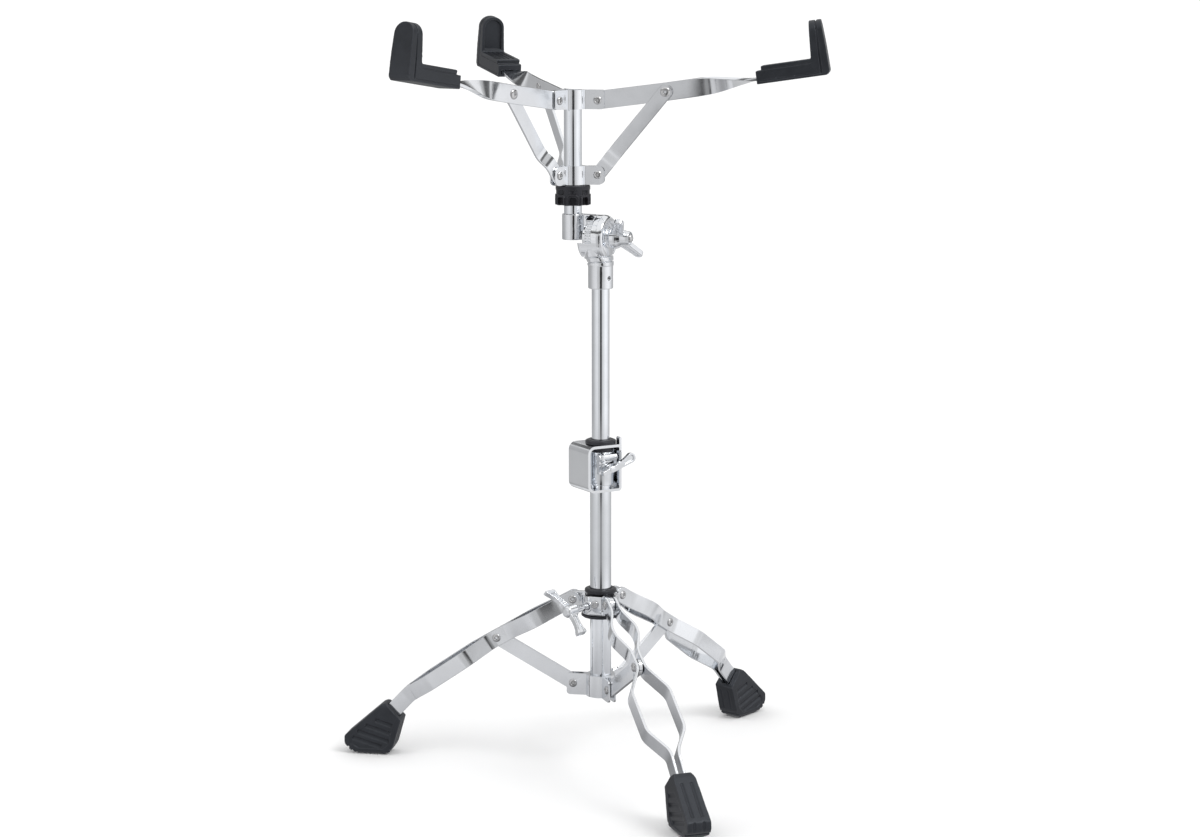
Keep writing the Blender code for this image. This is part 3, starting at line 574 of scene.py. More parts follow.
def flared_blade(hub, span, rise):
    """Wing that narrows from its hub and flares to a bar at the tip, with its pocket."""
    table = ((0.0, 4.8), (0.30, 3.0), (0.62, 3.2), (0.80, 4.4), (0.88, 5.6), (1.0, 5.8))

    def mid(x):
        return rise * max(0.0, (x - hub) / (span - hub)) ** 1.1

    xs = [hub + (span - hub) * k / 12 for k in range(13)]
    low = [(x, mid(x) - interp((x - hub) / (span - hub), table)) for x in xs]
    top = [(x, mid(x) + interp((x - hub) / (span - hub), table)) for x in xs]
    n = len(xs)
    body = fillet(low + top[::-1], [0] * (n - 1) + [1.7, 1.7] + [0] * (n - 1), 5)
    xi = [hub + (span - hub) * (0.20 + 0.62 * k / 6) for k in range(7)]
    low = [(x, mid(x) - interp((x - hub) / (span - hub), table) + 1.5) for x in xi]
    top = [(x, mid(x) + interp((x - hub) / (span - hub), table) - 1.5) for x in xi]
    return body, fillet(low + top[::-1], 0.5, 3)


def winged(name, prof, matrix, blade, lift, thick, voxel=0.34, rounds=7, drop=None):
    """Hub turned about local z with two swept wings, one cast skin."""
    ob = obj(name, spin_mesh("hub", prof, 48), matrix)
    body, hole = blade
    for s in (1, -1):
        m = matrix @ shift(0, 0, lift) @ rot(90, 'X')
        boolean(ob, flat_mesh("w", [(x * s, y) for x, y in body], [], thick), m, 'UNION')
        if hole:
            for f in (1, -1):
                boolean(ob, flat_mesh("r", [(x * s, y) for x, y in hole], [], 2.4),
                        m @ shift(0, 0, f * (thick / 2)))
    return remesh(ob, voxel, rounds)


# ---------------------------------------------------------------------- tripod
def tab(x_in, x_pin, z_pin, r, z_low, z_top):
    return ([(x_in, z_low), (x_pin, z_pin - r)] + arc(x_pin, z_pin, r, -80, 80, 14)
            + [(x_pin, z_pin + r), (x_in, z_top)])


collar = obj("collar_visual",
             spin_mesh("c", fillet([(16.5, 157.0), (16.5, 140.0), (9.9, 140.0), (9.9, 157.0)],
                                   [1.4, 0.8, 0.5, 0.5], 4), 96))
for az in LEG_AZ:
    boolean(collar, flat_mesh("lug", tab(13.0, PIVOT_R, TOP_Z, 6.6, 145.4, 159.4), [], 5.0),
            side_on(az), 'UNION')
boss = frame_at(-127.0, z=0) @ rot(90, 'X') @ rot(90, 'Y')
boolean(collar, box_mesh("boss", (12.0, -6.4, 141.6), (17.9, 6.4, 158.2)), frame_at(-127.0), 'UNION')
boolean(collar, cyl_mesh("bore", 3.3, 12.0, 32),
        frame_at(SCREW_AZ, z=SCREW_Z) @ shift(14, 0, 0) @ rot(90, 'Y'))
boolean(collar, cyl_mesh("boss_screw", 5.0, 6.0, 40),
        frame_at(SCREW_AZ, z=SCREW_Z) @ shift(16.2, 0, 0) @ rot(90, 'Y'), 'UNION')
boolean(collar, cyl_mesh("bore", 3.3, 12.0, 32),
        frame_at(SCREW_AZ, z=SCREW_Z) @ shift(14.5, 0, 0) @ rot(90, 'Y'))
remesh(collar, 0.36, 6)
place(collar, "collar", "collar", "cast", 60, False)
nub = obj("collar_guide_pin",
          spin_mesh("h", [(0, 0.2), (1.2, 0.2), (1.5, 1.4), (2.3, 1.7), (3.2, 1.5), (3.7, 0.6),
                          (3.7, -1.6), (0, -1.6)], 36),
          frame_at(-98.0, z=147.6) @ shift(16.6, 0, 0) @ rot(90, 'Y'))
place(nub, "collar", [], "steel", 50, False)
head = obj("collar_boss_screw",
           spin_mesh("h", [(0, 1.0), (1.5, 1.0), (1.7, 1.9), (2.6, 2.1), (3.3, 1.7), (3.6, 0.9),
                           (3.6, -1.0), (0, -1.0)], 36),
           frame_at(-127.0, z=151.2) @ shift(17.7, 0, 0) @ rot(90, 'Y'))
place(head, "collar", [], "steel", 50, False)

place(obj("collar_top_ring_visual",
          spin_mesh("r", fillet([(9.9, 162.9), (12.2, 163.3), (14.3, 162.4), (14.3, 159.8),
                                 (12.6, 158.3), (12.0, 157.3), (9.9, 157.3)],
                                [0.4, 1.0, 1.3, 1.2, 0.5, 0.2, 0.2], 5), 80)),
      "collar", "collar_top_ring", "plastic", 60, False)
place(obj("collar_lower_ring_visual",
          spin_mesh("r", fillet([(17.4, 139.7), (17.4, 138.2), (16.2, 137.2), (9.9, 137.2),
                                 (9.9, 139.7)], [0.5, 0.5, 0.5, 0.3, 0.3], 4), 80)),
      "collar", "collar_lower_ring", "plastic", 60, False)

screw_m = frame_at(SCREW_AZ, z=SCREW_Z) @ rot(90, 'Y') @ rot(50, 'Z')
shank = [(0, 48.6), (2.6, 48.6), (4.4, 47.8), (5.3, 46.2), (5.9, 37.0), (4.6, 35.4), (3.3, 34.8),
         (3.2, 24.0)]
z = 24.0
while z > 11.2:
    shank += [(3.05, z - 0.25), (2.45, z - 0.6), (3.05, z - 0.95)]
    z -= 1.1
shank += [(2.7, 10.5), (0, 10.5)]
ws = winged("collar_wing_screw_visual", [p for p in shank], screw_m,
            flared_blade(2.4, 25.2, 7.2), 42.0, 4.4, 0.30, 4)
place(ws, "collar_screw", "collar_wing_screw", "cast", 60, False)


def corner(x, z, r, sx, sz):
    """Waste outside a rounded corner whose square tip is (x, z)."""
    cx, cz = x - sx * r, z - sz * r
    pts = [(x + sx * 2, z + sz * 2), (cx, z + sz * 2)]
    for k in range(9):
        a = math.radians(90 - 90 * k / 8)
        pts.append((cx + sx * r * math.cos(a), cz + sz * r * math.sin(a)))
    pts.append((x + sx * 2, cz))
    return pts


def fork(azimuths, ring_r, floor_r, tip_r, gap, sheet, web_r=3.0):
    """Plan of a ring with forked lugs, sheet-metal bends where they meet."""
    y2 = gap + sheet
    x_ring = math.sqrt(ring_r ** 2 - y2 ** 2)
    half = math.degrees(math.atan2(y2, x_ring))
    pts, rad = [], []
    order = sorted(a % 360 for a in azimuths)
    for i, az in enumerate(order):
        a = math.radians(az)
        for x, y, r in ((x_ring, -y2, 2.2), (tip_r, -y2, 0.4), (tip_r, -gap, 0.4),
                        (floor_r, -gap, 0.7), (floor_r, gap, 0.7), (tip_r, gap, 0.4),
                        (tip_r, y2, 0.4), (x_ring, y2, 2.2)):
            pts.append((x * math.cos(a) - y * math.sin(a), x * math.sin(a) + y * math.cos(a)))
            rad.append(r)
        nxt = order[(i + 1) % len(order)] + (360 if i == len(order) - 1 else 0)
        mid = arc(0, 0, ring_r, az + half, nxt - half, 14)[1:-1]
        pts += mid
        rad += [0] * len(mid)
    return fillet(pts, rad, 5)


def forked_hub(name, body, nodes, azimuths, ring_r, floor_r, tip_r, gap, sheet, bore, zs, base,
               pin_r, pin_z, corner_r, upper_only=False):
    ob = obj(name, flat_mesh("f", fork(azimuths, ring_r, floor_r, tip_r, gap, sheet),
                             [circle(0, 0, bore, 64)], zs[1] - zs[0]),
             shift(base[0], base[1], sum(zs) / 2))
    for az in azimuths:
        s = side_on(az, base)
        boolean(ob, flat_mesh("k", corner(tip_r, zs[1], corner_r, 1, 1), [], 16), s)
        boolean(ob, flat_mesh("k", corner(tip_r, zs[0], corner_r, 1, -1), [], 16), s)
        boolean(ob, cyl_mesh("pin", 2.1, 18, 24), s @ shift(pin_r, pin_z, 0))
    soften(ob, 0.42, 2, 40)
    return place(ob, body, nodes, "strip", 45)


HUB_GAP = 1.9
forked_hub("tripod_lower_hub_visual", "root", "tripod_lower_hub", LEG_AZ, 13.0, 15.4, 30.6,
           HUB_GAP, 1.6, 9.7, (64.0, 83.6), (0, 0), PIVOT_R, LOW_Z, 3.4)


def leg_line(r):
    return interp(r, ((0.0, TOP_Z + PIVOT_R * (TOP_Z - MID[1]) / (MID[0] - PIVOT_R)),
                      MID, LEG_BEND, LEG_END))


FOOT_SIDE = [(183.6, 33.4), (190.8, 8.6), (194.8, 2.2), (200.5, 0.0),
             (222.5, 0.0), (230.5, 3.0), (236.8, 9.6), (236.6, 17.0),
             (202.6, 46.6), (198.2, 48.6)]


def make_foot(name, az):
    side = side_on(az)
    ob = obj(name, flat_mesh("f", fillet(FOOT_SIDE, [1.5, 6, 5, 5, 6, 6, 5, 3.0, 1.5, 2.0], 5), [],
                             30.0), side)
    hw = 11.0
    face = (arc(hw - 5.5, 5.0, 5.5, -65, 0, 6) + [(hw - 1.0, 42.0)]
            + arc(hw - 7.0, 43.2, 6.0, 0, 90, 6) + arc(-hw + 7.0, 43.2, 6.0, 90, 180, 6)
            + [(-hw + 1.0, 42.0)] + arc(-hw + 5.5, 5.0, 5.5, 180, 245, 6))
    boolean(ob, flat_mesh("face", face, [], 160.0), side @ shift(210, 0, 0) @ rot(90, 'Y'),
            'INTERSECT')
    # tread across the sole, following its curve from heel to toe
    sole = [(193.2, 4.6, 40), (197.2, 1.2, 66), (201.8, 0.0, 90), (206.4, 0.0, 90), (211.0, 0.0, 90),
            (215.6, 0.0, 90), (220.2, 0.0, 90), (225.0, 0.95, 110), (229.4, 2.6, 116),
            (233.2, 6.0, 136)]
    for x, z, a in sole:
        boolean(ob, box_mesh("tread", (-1.3, -0.85, -20), (1.15, 0.85, 20)),
                side @ shift(x, z, 0) @ rot(a, 'Z'))
    # sunk cheek panels inside a raised rim, with broad sloping flutes
    panel = fillet([(190.4, 31.6), (195.2, 10.8), (200.6, 5.4), (223.0, 5.4), (231.4, 9.8),
                    (231.2, 14.6), (200.4, 41.2), (195.6, 40.0)], 2.4, 5)
    for s in (1, -1):
        boolean(ob, flat_mesh("panel", panel, [], 2.0), side @ shift(0, 0, s * 11.2))
    for x0, z0, x1, z1 in ((191.5, 27.5, 207.5, 32.6), (193.0, 20.0, 216.5, 27.2),
                           (195.0, 12.6, 224.5, 21.4), (202.0, 7.4, 229.0, 15.2)):
        d = math.degrees(math.atan2(z1 - z0, x1 - x0))
        ln = math.hypot(x1 - x0, z1 - z0)
        for s in (1, -1):
            boolean(ob, cyl_mesh("flute", 2.5, ln, 20),
                    side @ shift((x0 + x1) / 2, (z0 + z1) / 2, s * 11.5)
                    @ rot(d, 'Z') @ rot(90, 'Y'))
    # grooves down the outer slope and the toe
    d = math.degrees(math.atan2(17.0 - 46.6, 236.6 - 202.6))
    for y in (-4.3, 4.3):
        boolean(ob, cyl_mesh("groove", 1.9, 34.0, 16),
                side @ shift(220.6, 32.4, y) @ rot(d, 'Z') @ rot(90, 'Y'))
        boolean(ob, cyl_mesh("groove", 1.9, 14.0, 16),
                side @ shift(237.6, 13.4, y) @ rot(90, 'X'))
    # flutes down the inner face
    d2 = math.degrees(math.atan2(8.6 - 33.4, 190.8 - 183.6))
    for y in (-4.2, 4.2):
        boolean(ob, cyl_mesh("groove", 1.1, 20.0, 16),
                side @ shift(187.0, 19.4, y) @ rot(d2, 'Z') @ rot(90, 'Y'))
    ang = math.degrees(math.atan2(LEG_END[1] - LEG_BEND[1], LEG_END[0] - LEG_BEND[0]))
    boolean(ob, box_mesh("pocket", (-20, -STRIP_H / 2 - 0.4, -5.0), (-1.0, STRIP_H / 2 + 0.4, 5.0)),
            side @ shift(LEG_END[0], LEG_END[1], 0) @ rot(ang, 'Z'))
    remesh(ob, 0.42, 2, 0.42)
    return ob


foot_mesh = None
for n, az in enumerate(LEG_AZ, 1):
    flat, side = frame_at(az), side_on(az)
    xs = [PIVOT_R, 38.0, 54.5, 64.0, 82.0, 100.0, 121.0, 157.0, LEG_BEND[0], LEG_END[0]]
    for key, s in (("a", 1.0), ("b", -1.0)):
        line = [(x, s * interp(x, STRIP_PLAN), leg_line(x)) for x in xs]
        pts = curve_path(line, 5.0, 7)
        hs = [STRIP_H] * len(pts)
        d = (pts[1] - pts[0]).normalized()
        lead = round_start(pts[0], d, STRIP_H / 2, 8)
        pts = [p for p, h in lead] + pts
        hs = [h for p, h in lead] + hs
        st = obj("leg_%d_strip_%s_visual" % (n, key), edge_bar("s", pts, hs, STRIP_T, 0.55), flat)
        place(st, "leg_%d" % n, "leg_%d_strip_%s" % (n, key), "strip", 40)
    if foot_mesh is None:
        foot = make_foot("leg_1_foot_visual", az)
        foot_mesh = (foot.data, az)
    else:
        me = foot_mesh[0].copy()
        me.transform(rot(az - foot_mesh[1], 'Z'))
        foot = obj("leg_%d_foot_visual" % n, me)
    place(foot, "leg_%d" % n, "leg_%d_foot" % n, "rubber", 60, False)

    length = math.hypot(MID[0] - PIVOT_R, MID[1] - LOW_Z)
    lean = math.degrees(math.atan2(MID[1] - LOW_Z, MID[0] - PIVOT_R))
    br = obj("brace_%d_visual" % n,
             flat_mesh("b", arc(length, 0, 7.0, -90, 90, 24) + arc(0, 0, 7.0, 90, 270, 24),
                       [circle(0, 0, 2.1, 20), circle(length, 0, 2.1, 20)], 3.0),
             side @ shift(PIVOT_R, LOW_Z, 0) @ rot(lean, 'Z'))
    soften(br, 0.5, 3, 40)
    place(br, "brace_%d" % n, "brace_%d" % n, "strip", 45)
    rivet("rivet_leg_top_%d" % n, "collar", side @ shift(PIVOT_R, TOP_Z, 0), -5.35, 5.35, 3.9)
    rivet("rivet_leg_mid_%d" % n, "leg_%d" % n, side @ shift(MID[0], MID[1], 0), -4.45, 4.45, 3.9)
    rivet("rivet_brace_%d" % n, "root", side @ shift(PIVOT_R, LOW_Z, 0), -HUB_GAP - 1.6,
          HUB_GAP + 1.6, 3.8)

# ---------------------------------------------------------------- height clamp
u0, u1, v0, v1, z0, z1, t = -19.6, 14.6, -23.0, 12.0, 252.0, 294.0, 2.4


def loop(a0, a1, b0, b1, r, n=9, right=None):
    q = r if right is None else right
    return (arc(a1 - q, b1 - q, q, 0, 90, n) + arc(a0 + r, b1 - r, r, 90, 180, n)
            + arc(a0 + r, b0 + r, r, 180, 270, n) + arc(a1 - q, b0 + q, q, 270, 360, n))


bracket = obj("clamp_bracket_visual",
              flat_mesh("b", loop(u0, u1, z0, z1, 7.0, 9, 3.2),
                        [loop(u0 + t, u1 - t, z0 + t, z1 - t, 7.0 - t, 9, 1.2)], v1 - v0),
              side_on(CLAMP_AZ) @ shift(0, 0, (v0 + v1) / 2))
horn = ([(u1 - t + 0.05, 288.0), (u1 - 0.05, 288.0)] + arc(u1 - 1.2, 299.3, 1.15, 0, 180, 8))
boolean(bracket, flat_mesh("horn", horn, [], 5.4),
        side_on(CLAMP_AZ) @ shift(0, 0, v1 - 2.7), 'UNION')
boolean(bracket, cyl_mesh("h", 11.3, 10, 64), shift(0, 0, z1))
boolean(bracket, cyl_mesh("h", 9.8, 12, 64), shift(0, 0, z0))
soften(bracket, 0.5, 3, 40)
place(bracket, "root", "clamp_bracket", "strip", 45)
sleeve = obj("clamp_sleeve_visual",
             spin_mesh("s", fillet([(11.4, 287.6), (11.4, 257.6), (9.85, 257.6), (9.85, 287.6)],
                                   0.4, 3), 80))
place(sleeve, "root", "clamp_sleeve", "chrome", 60, False)
bushing = obj("clamp_bushing_visual",
              spin_mesh("b", fillet([(8.3, 298.2), (11.6, 298.2), (13.7, 297.2), (13.7, 294.4),
                                     (11.1, 294.4), (11.1, 288.0), (8.3, 288.0)],
                                    [0.5, 0.8, 0.9, 0.4, 0.2, 0.3, 0.3], 4), 80))
place(bushing, "root", "clamp_bushing", "plastic", 60, False)

lever_m = frame_at(CLAMP_AZ - 90, z=273.5) @ rot(90, 'Y') @ rot(90, 'Z')
# jaw behind the screw: a saddle plate, a shouldered eye and its nut
jaw = obj("clamp_jaw", box_mesh("j", (-8.6, 3.4, 7.2), (9.6, 6.2, 12.2)), lever_m)
boolean(jaw, box_mesh("j", (-7.6, 5.0, 6.2), (7.6, 13.4, 9.4)), lever_m, 'UNION')
boolean(jaw, cyl_mesh("e", 3.4, 18.4, 36), lever_m @ shift(0.4, 9.6, 10.2) @ rot(90, 'Y'), 'UNION')
boolean(jaw, cyl_mesh("e", 5.0, 3.0, 6), lever_m @ shift(-5.4, 9.6, 10.2) @ rot(90, 'Y'), 'UNION')
boolean(jaw, box_mesh("j", (-8.6, -5.2, 8.0), (-5.6, 5.0, 11.6)), lever_m, 'UNION')
boolean(jaw, cyl_mesh("e", 11.9, 40.0, 64), shift(0, 0, 273.5))
remesh(jaw, 0.34, 4)
place(jaw, "root", [], "cast", 60, False)

lev = [(-10.0, -2.4), (3.0, -2.6), (14.0, -1.9), (20.5, -1.6)]
lev += arc(21.0, 2.9, 4.5, -90, 90, 12)[1:]
lev += [(14.0, 4.6), (4.0, 2.6), (-10.0, 1.6)]
lever = obj("clamp_wing_screw_visual",
            spin_mesh("l", [(0, 21.7), (2.0, 21.6), (2.9, 21.0), (3.1, 20.0), (3.1, 15.8),
                            (2.6, 15.2), (3.1, 14.6), (2.6, 14.0), (3.1, 13.4), (2.8, 12.5),
                            (0, 12.4)], 48), lever_m)
lm = lever_m @ shift(0, 0, 19.2) @ rot(17, 'Z')
boolean(lever, flat_mesh("l", fillet(lev, 0.8, 3), [], 4.2), lm, 'UNION')
slot = arc(21.0, 2.9, 2.5, -90, 90, 10) + arc(14.0, 1.6, 1.5, 90, 270, 8)
for f in (1, -1):
    boolean(lever, flat_mesh("s", slot, [], 2.6), lm @ shift(0, 0, f * 2.1))
remesh(lever, 0.30, 5)
place(lever, "clamp_screw", "clamp_wing_screw", "cast", 60, False)

# ---------------------------------------------------------------------- tilter
tilt_m = frame_at(TILT_AZ, z=TILT_Z) @ rot(90, 'Y')
tilt_frame = frame_at(TILT_AZ, z=TILT_Z)


def on_axis(r, t0, t1, n=64):
    return cyl_mesh("a", r, t1 - t0, n), tilt_m @ shift(0, 0, (t0 + t1) / 2)


lower = obj("tilter_lower_casting_visual",
            spin_mesh("c", [(0, 3.4), (10.3, 3.4), (10.9, 4.7), (11.8, 4.4), (12.4, 5.9), (13.3, 5.6),
                            (13.9, 7.2), (15.0, 8.7), (16.6, 9.2), (18.0, 8.3), (19.2, 6.4),
                            (19.8, 4.4), (19.8, -12.6), (19.2, -14.0), (0, -14.0)], 96), tilt_m)
boolean(lower, box_mesh("h", (-30, -30, -4.0), (-0.9, 30, 40)), tilt_frame)
neck = []
for zz, tt, pp, off in ((-24.5, 11.1, 11.1, 0.0), (-21.5, 11.1, 11.4, -0.1), (-18.0, 11.2, 13.2, -1.0),
                        (-14.0, 11.3, 15.4, -2.0), (-10.0, 11.4, 17.4, -2.4), (-6.0, 11.4, 18.2, -2.5)):
    neck.append([(off + tt * math.copysign(abs(math.cos(a)) ** 0.8, math.cos(a)),
                  pp * math.copysign(abs(math.sin(a)) ** 0.8, math.sin(a)), zz)
                 for a in (math.tau * i / 48 for i in range(48))])
boolean(lower, loft_mesh("n", neck), tilt_frame, 'UNION')
socket = fillet([(0, 456.0), (11.1, 456.0), (11.1, 432.5), (0, 432.5)], [0, 0.2, 0.7, 0], 4, False)
boolean(lower, spin_mesh("s", socket, 72), EYE, 'UNION')
# shoulder lines where the shell meets the neck and the neck meets the socket
for zz, ox, ax, ay in ((-16.6, -2.6, 11.0, 12.6), (-21.3, -0.4, 10.5, 10.6)):
    boolean(lower, flat_mesh("g", [(-30, -30), (30, -30), (30, 30), (-30, 30)],
                             [[(ax * math.cos(a) + ox, ay * math.sin(a))
                               for a in (math.tau * i / 48 for i in range(48))]], 0.9),
            tilt_frame @ shift(0, 0, zz) @ rot(-4.0, 'Y'))
cav, m = on_axis(17.9, -40.0, -0.9)
boolean(lower, cav, m)
boolean(lower, cyl_mesh("b", 8.25, 40, 64), shift(0, 0, 434.6))
hole, m = on_axis(4.35, -5.0, 20.0, 40)
boolean(lower, hole, m)
SET_M = frame_at(-66.0, z=442.0) @ rot(90, 'Y')
boolean(lower, cyl_mesh("h", 1.9, 8.0, 28), SET_M @ shift(0, 0, 11.0))
remesh(lower, 0.30, 6)
place(lower, "mast", "tilter_lower_casting", "cast", 60, False)
setscrew = obj("tilter_set_screw_visual",
               spin_mesh("s", [(0, 8.6), (1.0, 8.6), (1.0, 9.4), (1.5, 9.4), (1.75, 9.1),
                               (1.75, 8.35), (0, 8.35)], 12), SET_M)
place(setscrew, "mast", "tilter_set_screw", "steel", 30, False)

upper = obj("tilter_upper_casting_visual",
            spin_mesh("c", [(0, -1.2), (17.2, -1.2), (17.5, -1.5), (17.5, -7.6), (17.1, -8.2),
                            (11.6, -8.4), (11.4, -12.6), (10.6, -13.4), (0, -13.4)], 96), tilt_m)
boolean(upper, many("tooth", box_mesh("tooth", (9.6, -0.45, -0.9), (20.0, 0.45, 0.9)),
                    [tilt_m @ rot(10.0 * k, 'Z') @ shift(0, 0, -1.2) @ rot(45, 'X')
                     for k in range(36)]), EYE)
boolean(upper, many("groove", box_mesh("g", (16.6, -0.55, -7.0), (19.0, 0.55, -2.6)),
                    [tilt_m @ rot(9.0 * k, 'Z') for k in range(40)]), EYE)
sector = arc(0, 0, 19.7, 50, 130, 24) + arc(0, 0, 16.0, 130, 50, 24)
boolean(upper, flat_mesh("roof", sector, [], 7.6),
        tilt_m @ rot(90, 'Z') @ shift(0, 0, -5.0), 'UNION')
web = [(-24.0, -2.6), (-7.8, -2.6), (-7.8, 19.4), (-24.0, 19.4)]
boolean(upper, flat_mesh("w", fillet(web, [0, 0, 1.0, 0], 4), [], 8.0),
        tilt_frame @ shift(0, 4.4, 0) @ rot(90, 'X'), 'UNION')
boolean(upper, spin_mesh("s", fillet([(0, 497.3), (9.7, 497.3), (9.7, 474.5), (0, 474.5)],
                                     [0, 0.7, 0.7, 0], 4, False), 72),
        shift(ROD[0], ROD[1], 0), 'UNION')
boolean(upper, cyl_mesh("b", 8.2, 40, 64), shift(ROD[0], ROD[1], 496.9))
hole, m = on_axis(4.35, -14.6, 5.0, 40)
boolean(upper, hole, m)
boolean(upper, cyl_mesh("h", 1.5, 9, 24), tilt_frame @ shift(-13.2, 1.0, 16.4) @ rot(90, 'X'))
remesh(upper, 0.30, 5)
place(upper, "basket", "tilter_upper_casting", "cast", 60, False)

bolt = obj("tilter_bolt_visual",
           spin_mesh("b", [(0, 30.9), (1.6, 30.7), (2.8, 30.1), (3.6, 29.0), (3.8, 27.0), (4.0, 26.6), (4.0, -13.0),
                           (3.4, -13.3), (0, -13.3)], 40), tilt_m)
place(bolt, "mast", "tilter_bolt", "steel", 50, False)
nut_m = tilt_m @ rot(90 - 36.0, 'Z')
nut = winged("tilter_wing_nut_visual",
             [(4.35, 26.8), (4.9, 27.2), (5.2, 28.9), (5.8, 28.6), (6.4, 26.4), (7.0, 21.0),
              (8.0, 19.0), (9.2, 17.0), (9.6, 15.4), (9.6, 11.4), (8.4, 10.9), (8.4, 9.4),
              (9.6, 8.9), (9.6, 5.2), (8.8, 4.2), (4.35, 4.2)], nut_m,
             wing_blade(5.4, 12.5, 29.3, 4.5, 9.2, 3.6, True), 17.6, 4.2, 0.32, 4)
place(nut, "wing_nut", "tilter_wing_nut", "cast", 60, False)

# ---------------------------------------------------------------------- basket
rod = obj("basket_rod_visual",
          spin_mesh("r", fillet([(0, 604.6), (7.94, 604.6), (7.94, 477.2), (0, 477.2)],
                                [0, 0.6, 0.6, 0], 4, False), 96), shift(ROD[0], ROD[1], 0))
place(rod, "basket", "basket_rod", "chrome", 60, False)
GAP = 1.85
forked_hub("basket_upper_hub_visual", "basket", "basket_upper_hub", ARM_AZ, 11.4, 13.4, 28.2, GAP,
           1.5, 8.0, (588.6, 605.4), ROD, HUB_R, ARM_Z, 2.6)
forked_hub("basket_lower_hub_visual", "slide_hub", "basket_lower_hub", ARM_AZ, 11.4, 13.4, 28.2,
           GAP, 1.5, 8.1, (522.9, 539.3), ROD, HUB_R, STRUT_Z, 5.2)

knob = obj("basket_knob_visual",
           spin_mesh("k", fillet([(0, 522.5), (15.3, 522.5), (15.3, 504.9), (0, 504.9)],
                                 [0, 1.2, 1.2, 0], 4, False), 96), shift(ROD[0], ROD[1], 0))
for k in range(8):
    a = 45.0 * k - 110.06
    km = frame_at(a, ROD)
    boolean(knob, cyl_mesh("f", 4.8, 15.2, 28), km @ shift(18.0, 0, 504.9 + 5.9))
    u = [(-3.3, -2.0), (3.3, -2.0), (3.3, 6.4), (2.2, 7.5), (-2.2, 7.5), (-3.3, 6.4)]
    frame_u = [(-5.1, 0.6), (5.1, 0.6), (5.1, 7.6), (3.2, 9.6), (-3.2, 9.6), (-5.1, 7.6)]
    boolean(knob, flat_mesh("u", frame_u, [], 4.0),
            km @ shift(13.7, 0, 504.9) @ rot(90, 'Z') @ rot(90, 'X'), 'UNION')
    boolean(knob, flat_mesh("u", u, [], 6.0),
            km @ shift(14.6, 0, 504.9) @ rot(90, 'Z') @ rot(90, 'X'))
boolean(knob, cyl_mesh("b", 8.2, 40, 64), shift(ROD[0], ROD[1], 513.0))
remesh(knob, 0.34, 3, 0.5)
place(knob, "knob", "basket_knob", "plastic", 60, False)


def arm_line(x):
    return interp(x, ((HUB_R, ARM_Z), ARM_MID, (240.0, ARM_MID[1] + (240.0 - ARM_MID[0]) * SLOPE)))


TWIST = ((0.0, 0.0), (100.0, 0.0), (108.0, 5.0), (117.0, 18.0), (127.0, 38.0), (137.0, 58.0),
         (146.0, 73.0), (154.0, 84.0), (161.0, 90.0), (240.0, 90.0))
GS = math.degrees(math.atan(SLOPE))


def make_grip(name, az):
    g = side_on(az, ROD) @ shift(GRIP_IN, arm_line(GRIP_IN), 0) @ rot(GS, 'Z')
    ell = [(0.0, -4.4), (60.4, -4.4), (63.2, -1.6), (62.4, 20.0), (60.8, 43.3), (50.2, 43.4),
           (48.4, 10.9), (5.0, 10.9), (5.0, 7.0), (0.0, 7.0)]
    ob = obj(name, flat_mesh("e", fillet(ell, [0.8, 1.2, 3.4, 6.0, 0.8, 0.8, 1.6, 1.0, 0.6, 0.8], 5),
                             [], 30.0), g)
    tongue = [(-11.2, -8.0), (11.2, -8.0), (11.2, 12.0), (10.6, 33.4)]
    tongue += [(10.6 * math.cos(a), 33.4 + 9.9 * math.sin(a))
               for a in (math.pi * i / 28 for i in range(1, 28))]
    tongue += [(-10.6, 33.4), (-11.2, 12.0)]
    boolean(ob, flat_mesh("t", tongue, [], 160.0), g @ rot(90, 'Y'), 'INTERSECT')

    def inner(w, r, z_lo):
        return ([(-w, z_lo), (w, z_lo)] + [(w * math.cos(a), 32.8 + r * math.sin(a))
                                           for a in (math.pi * i / 24 for i in range(25))])
    # recessed drum-side face with a raised rim
    face = g @ shift(49.0, 0, 0) @ rot(-3.2, 'Z') @ rot(90, 'Y')
    boolean(ob, flat_mesh("r", inner(8.3, 7.6, 13.2), [], 2.8), face)
    # parting groove round the upright, nearer its outer skin
    band = ([(12.4 * math.cos(a), 33.4 + 11.6 * math.sin(a))
             for a in (math.pi * i / 28 for i in range(29))] + [(-12.6, -2.4), (-10.1, -2.4)]
            + [(9.6 * math.cos(a) if abs(math.cos(a)) < 0.98 else math.copysign(10.0, math.cos(a)),
                33.4 + 8.9 * math.sin(a)) for a in (math.pi * (28 - i) / 28 for i in range(29))]
            + [(10.1, -2.4), (12.6, -2.4)])
    boolean(ob, flat_mesh("b", band, [], 1.3), g @ shift(56.0, 0, 0) @ rot(90, 'Y'))
    for s in (1, -1):
        boolean(ob, box_mesh("g", (2.4, -2.5, s * 11.4 - 0.8), (54.6, -1.3, s * 11.4 + 0.8)), g)
    # ribs along the top of the foot of the L and a shallow panel on each cheek
    for zz in (-6.2, -2.1, 2.1, 6.2):
        boolean(ob, box_mesh("g", (7.5, 10.1, zz - 0.75), (46.6, 12.0, zz + 0.75)), g)
    for s in (1, -1):
        boolean(ob, box_mesh("g", (-1.0, 7.0, s * 11.2 - 0.6), (48.0, 7.9, s * 11.2 + 0.6)), g)
    boolean(ob, box_mesh("p", (-10, -ARM_T / 2 - 0.3, -ARM_H / 2 - 0.3),
                         (37.0, ARM_T / 2 + 0.3, ARM_H / 2 + 0.3)), g)
    return remesh(ob, 0.40, 2, 0.42)


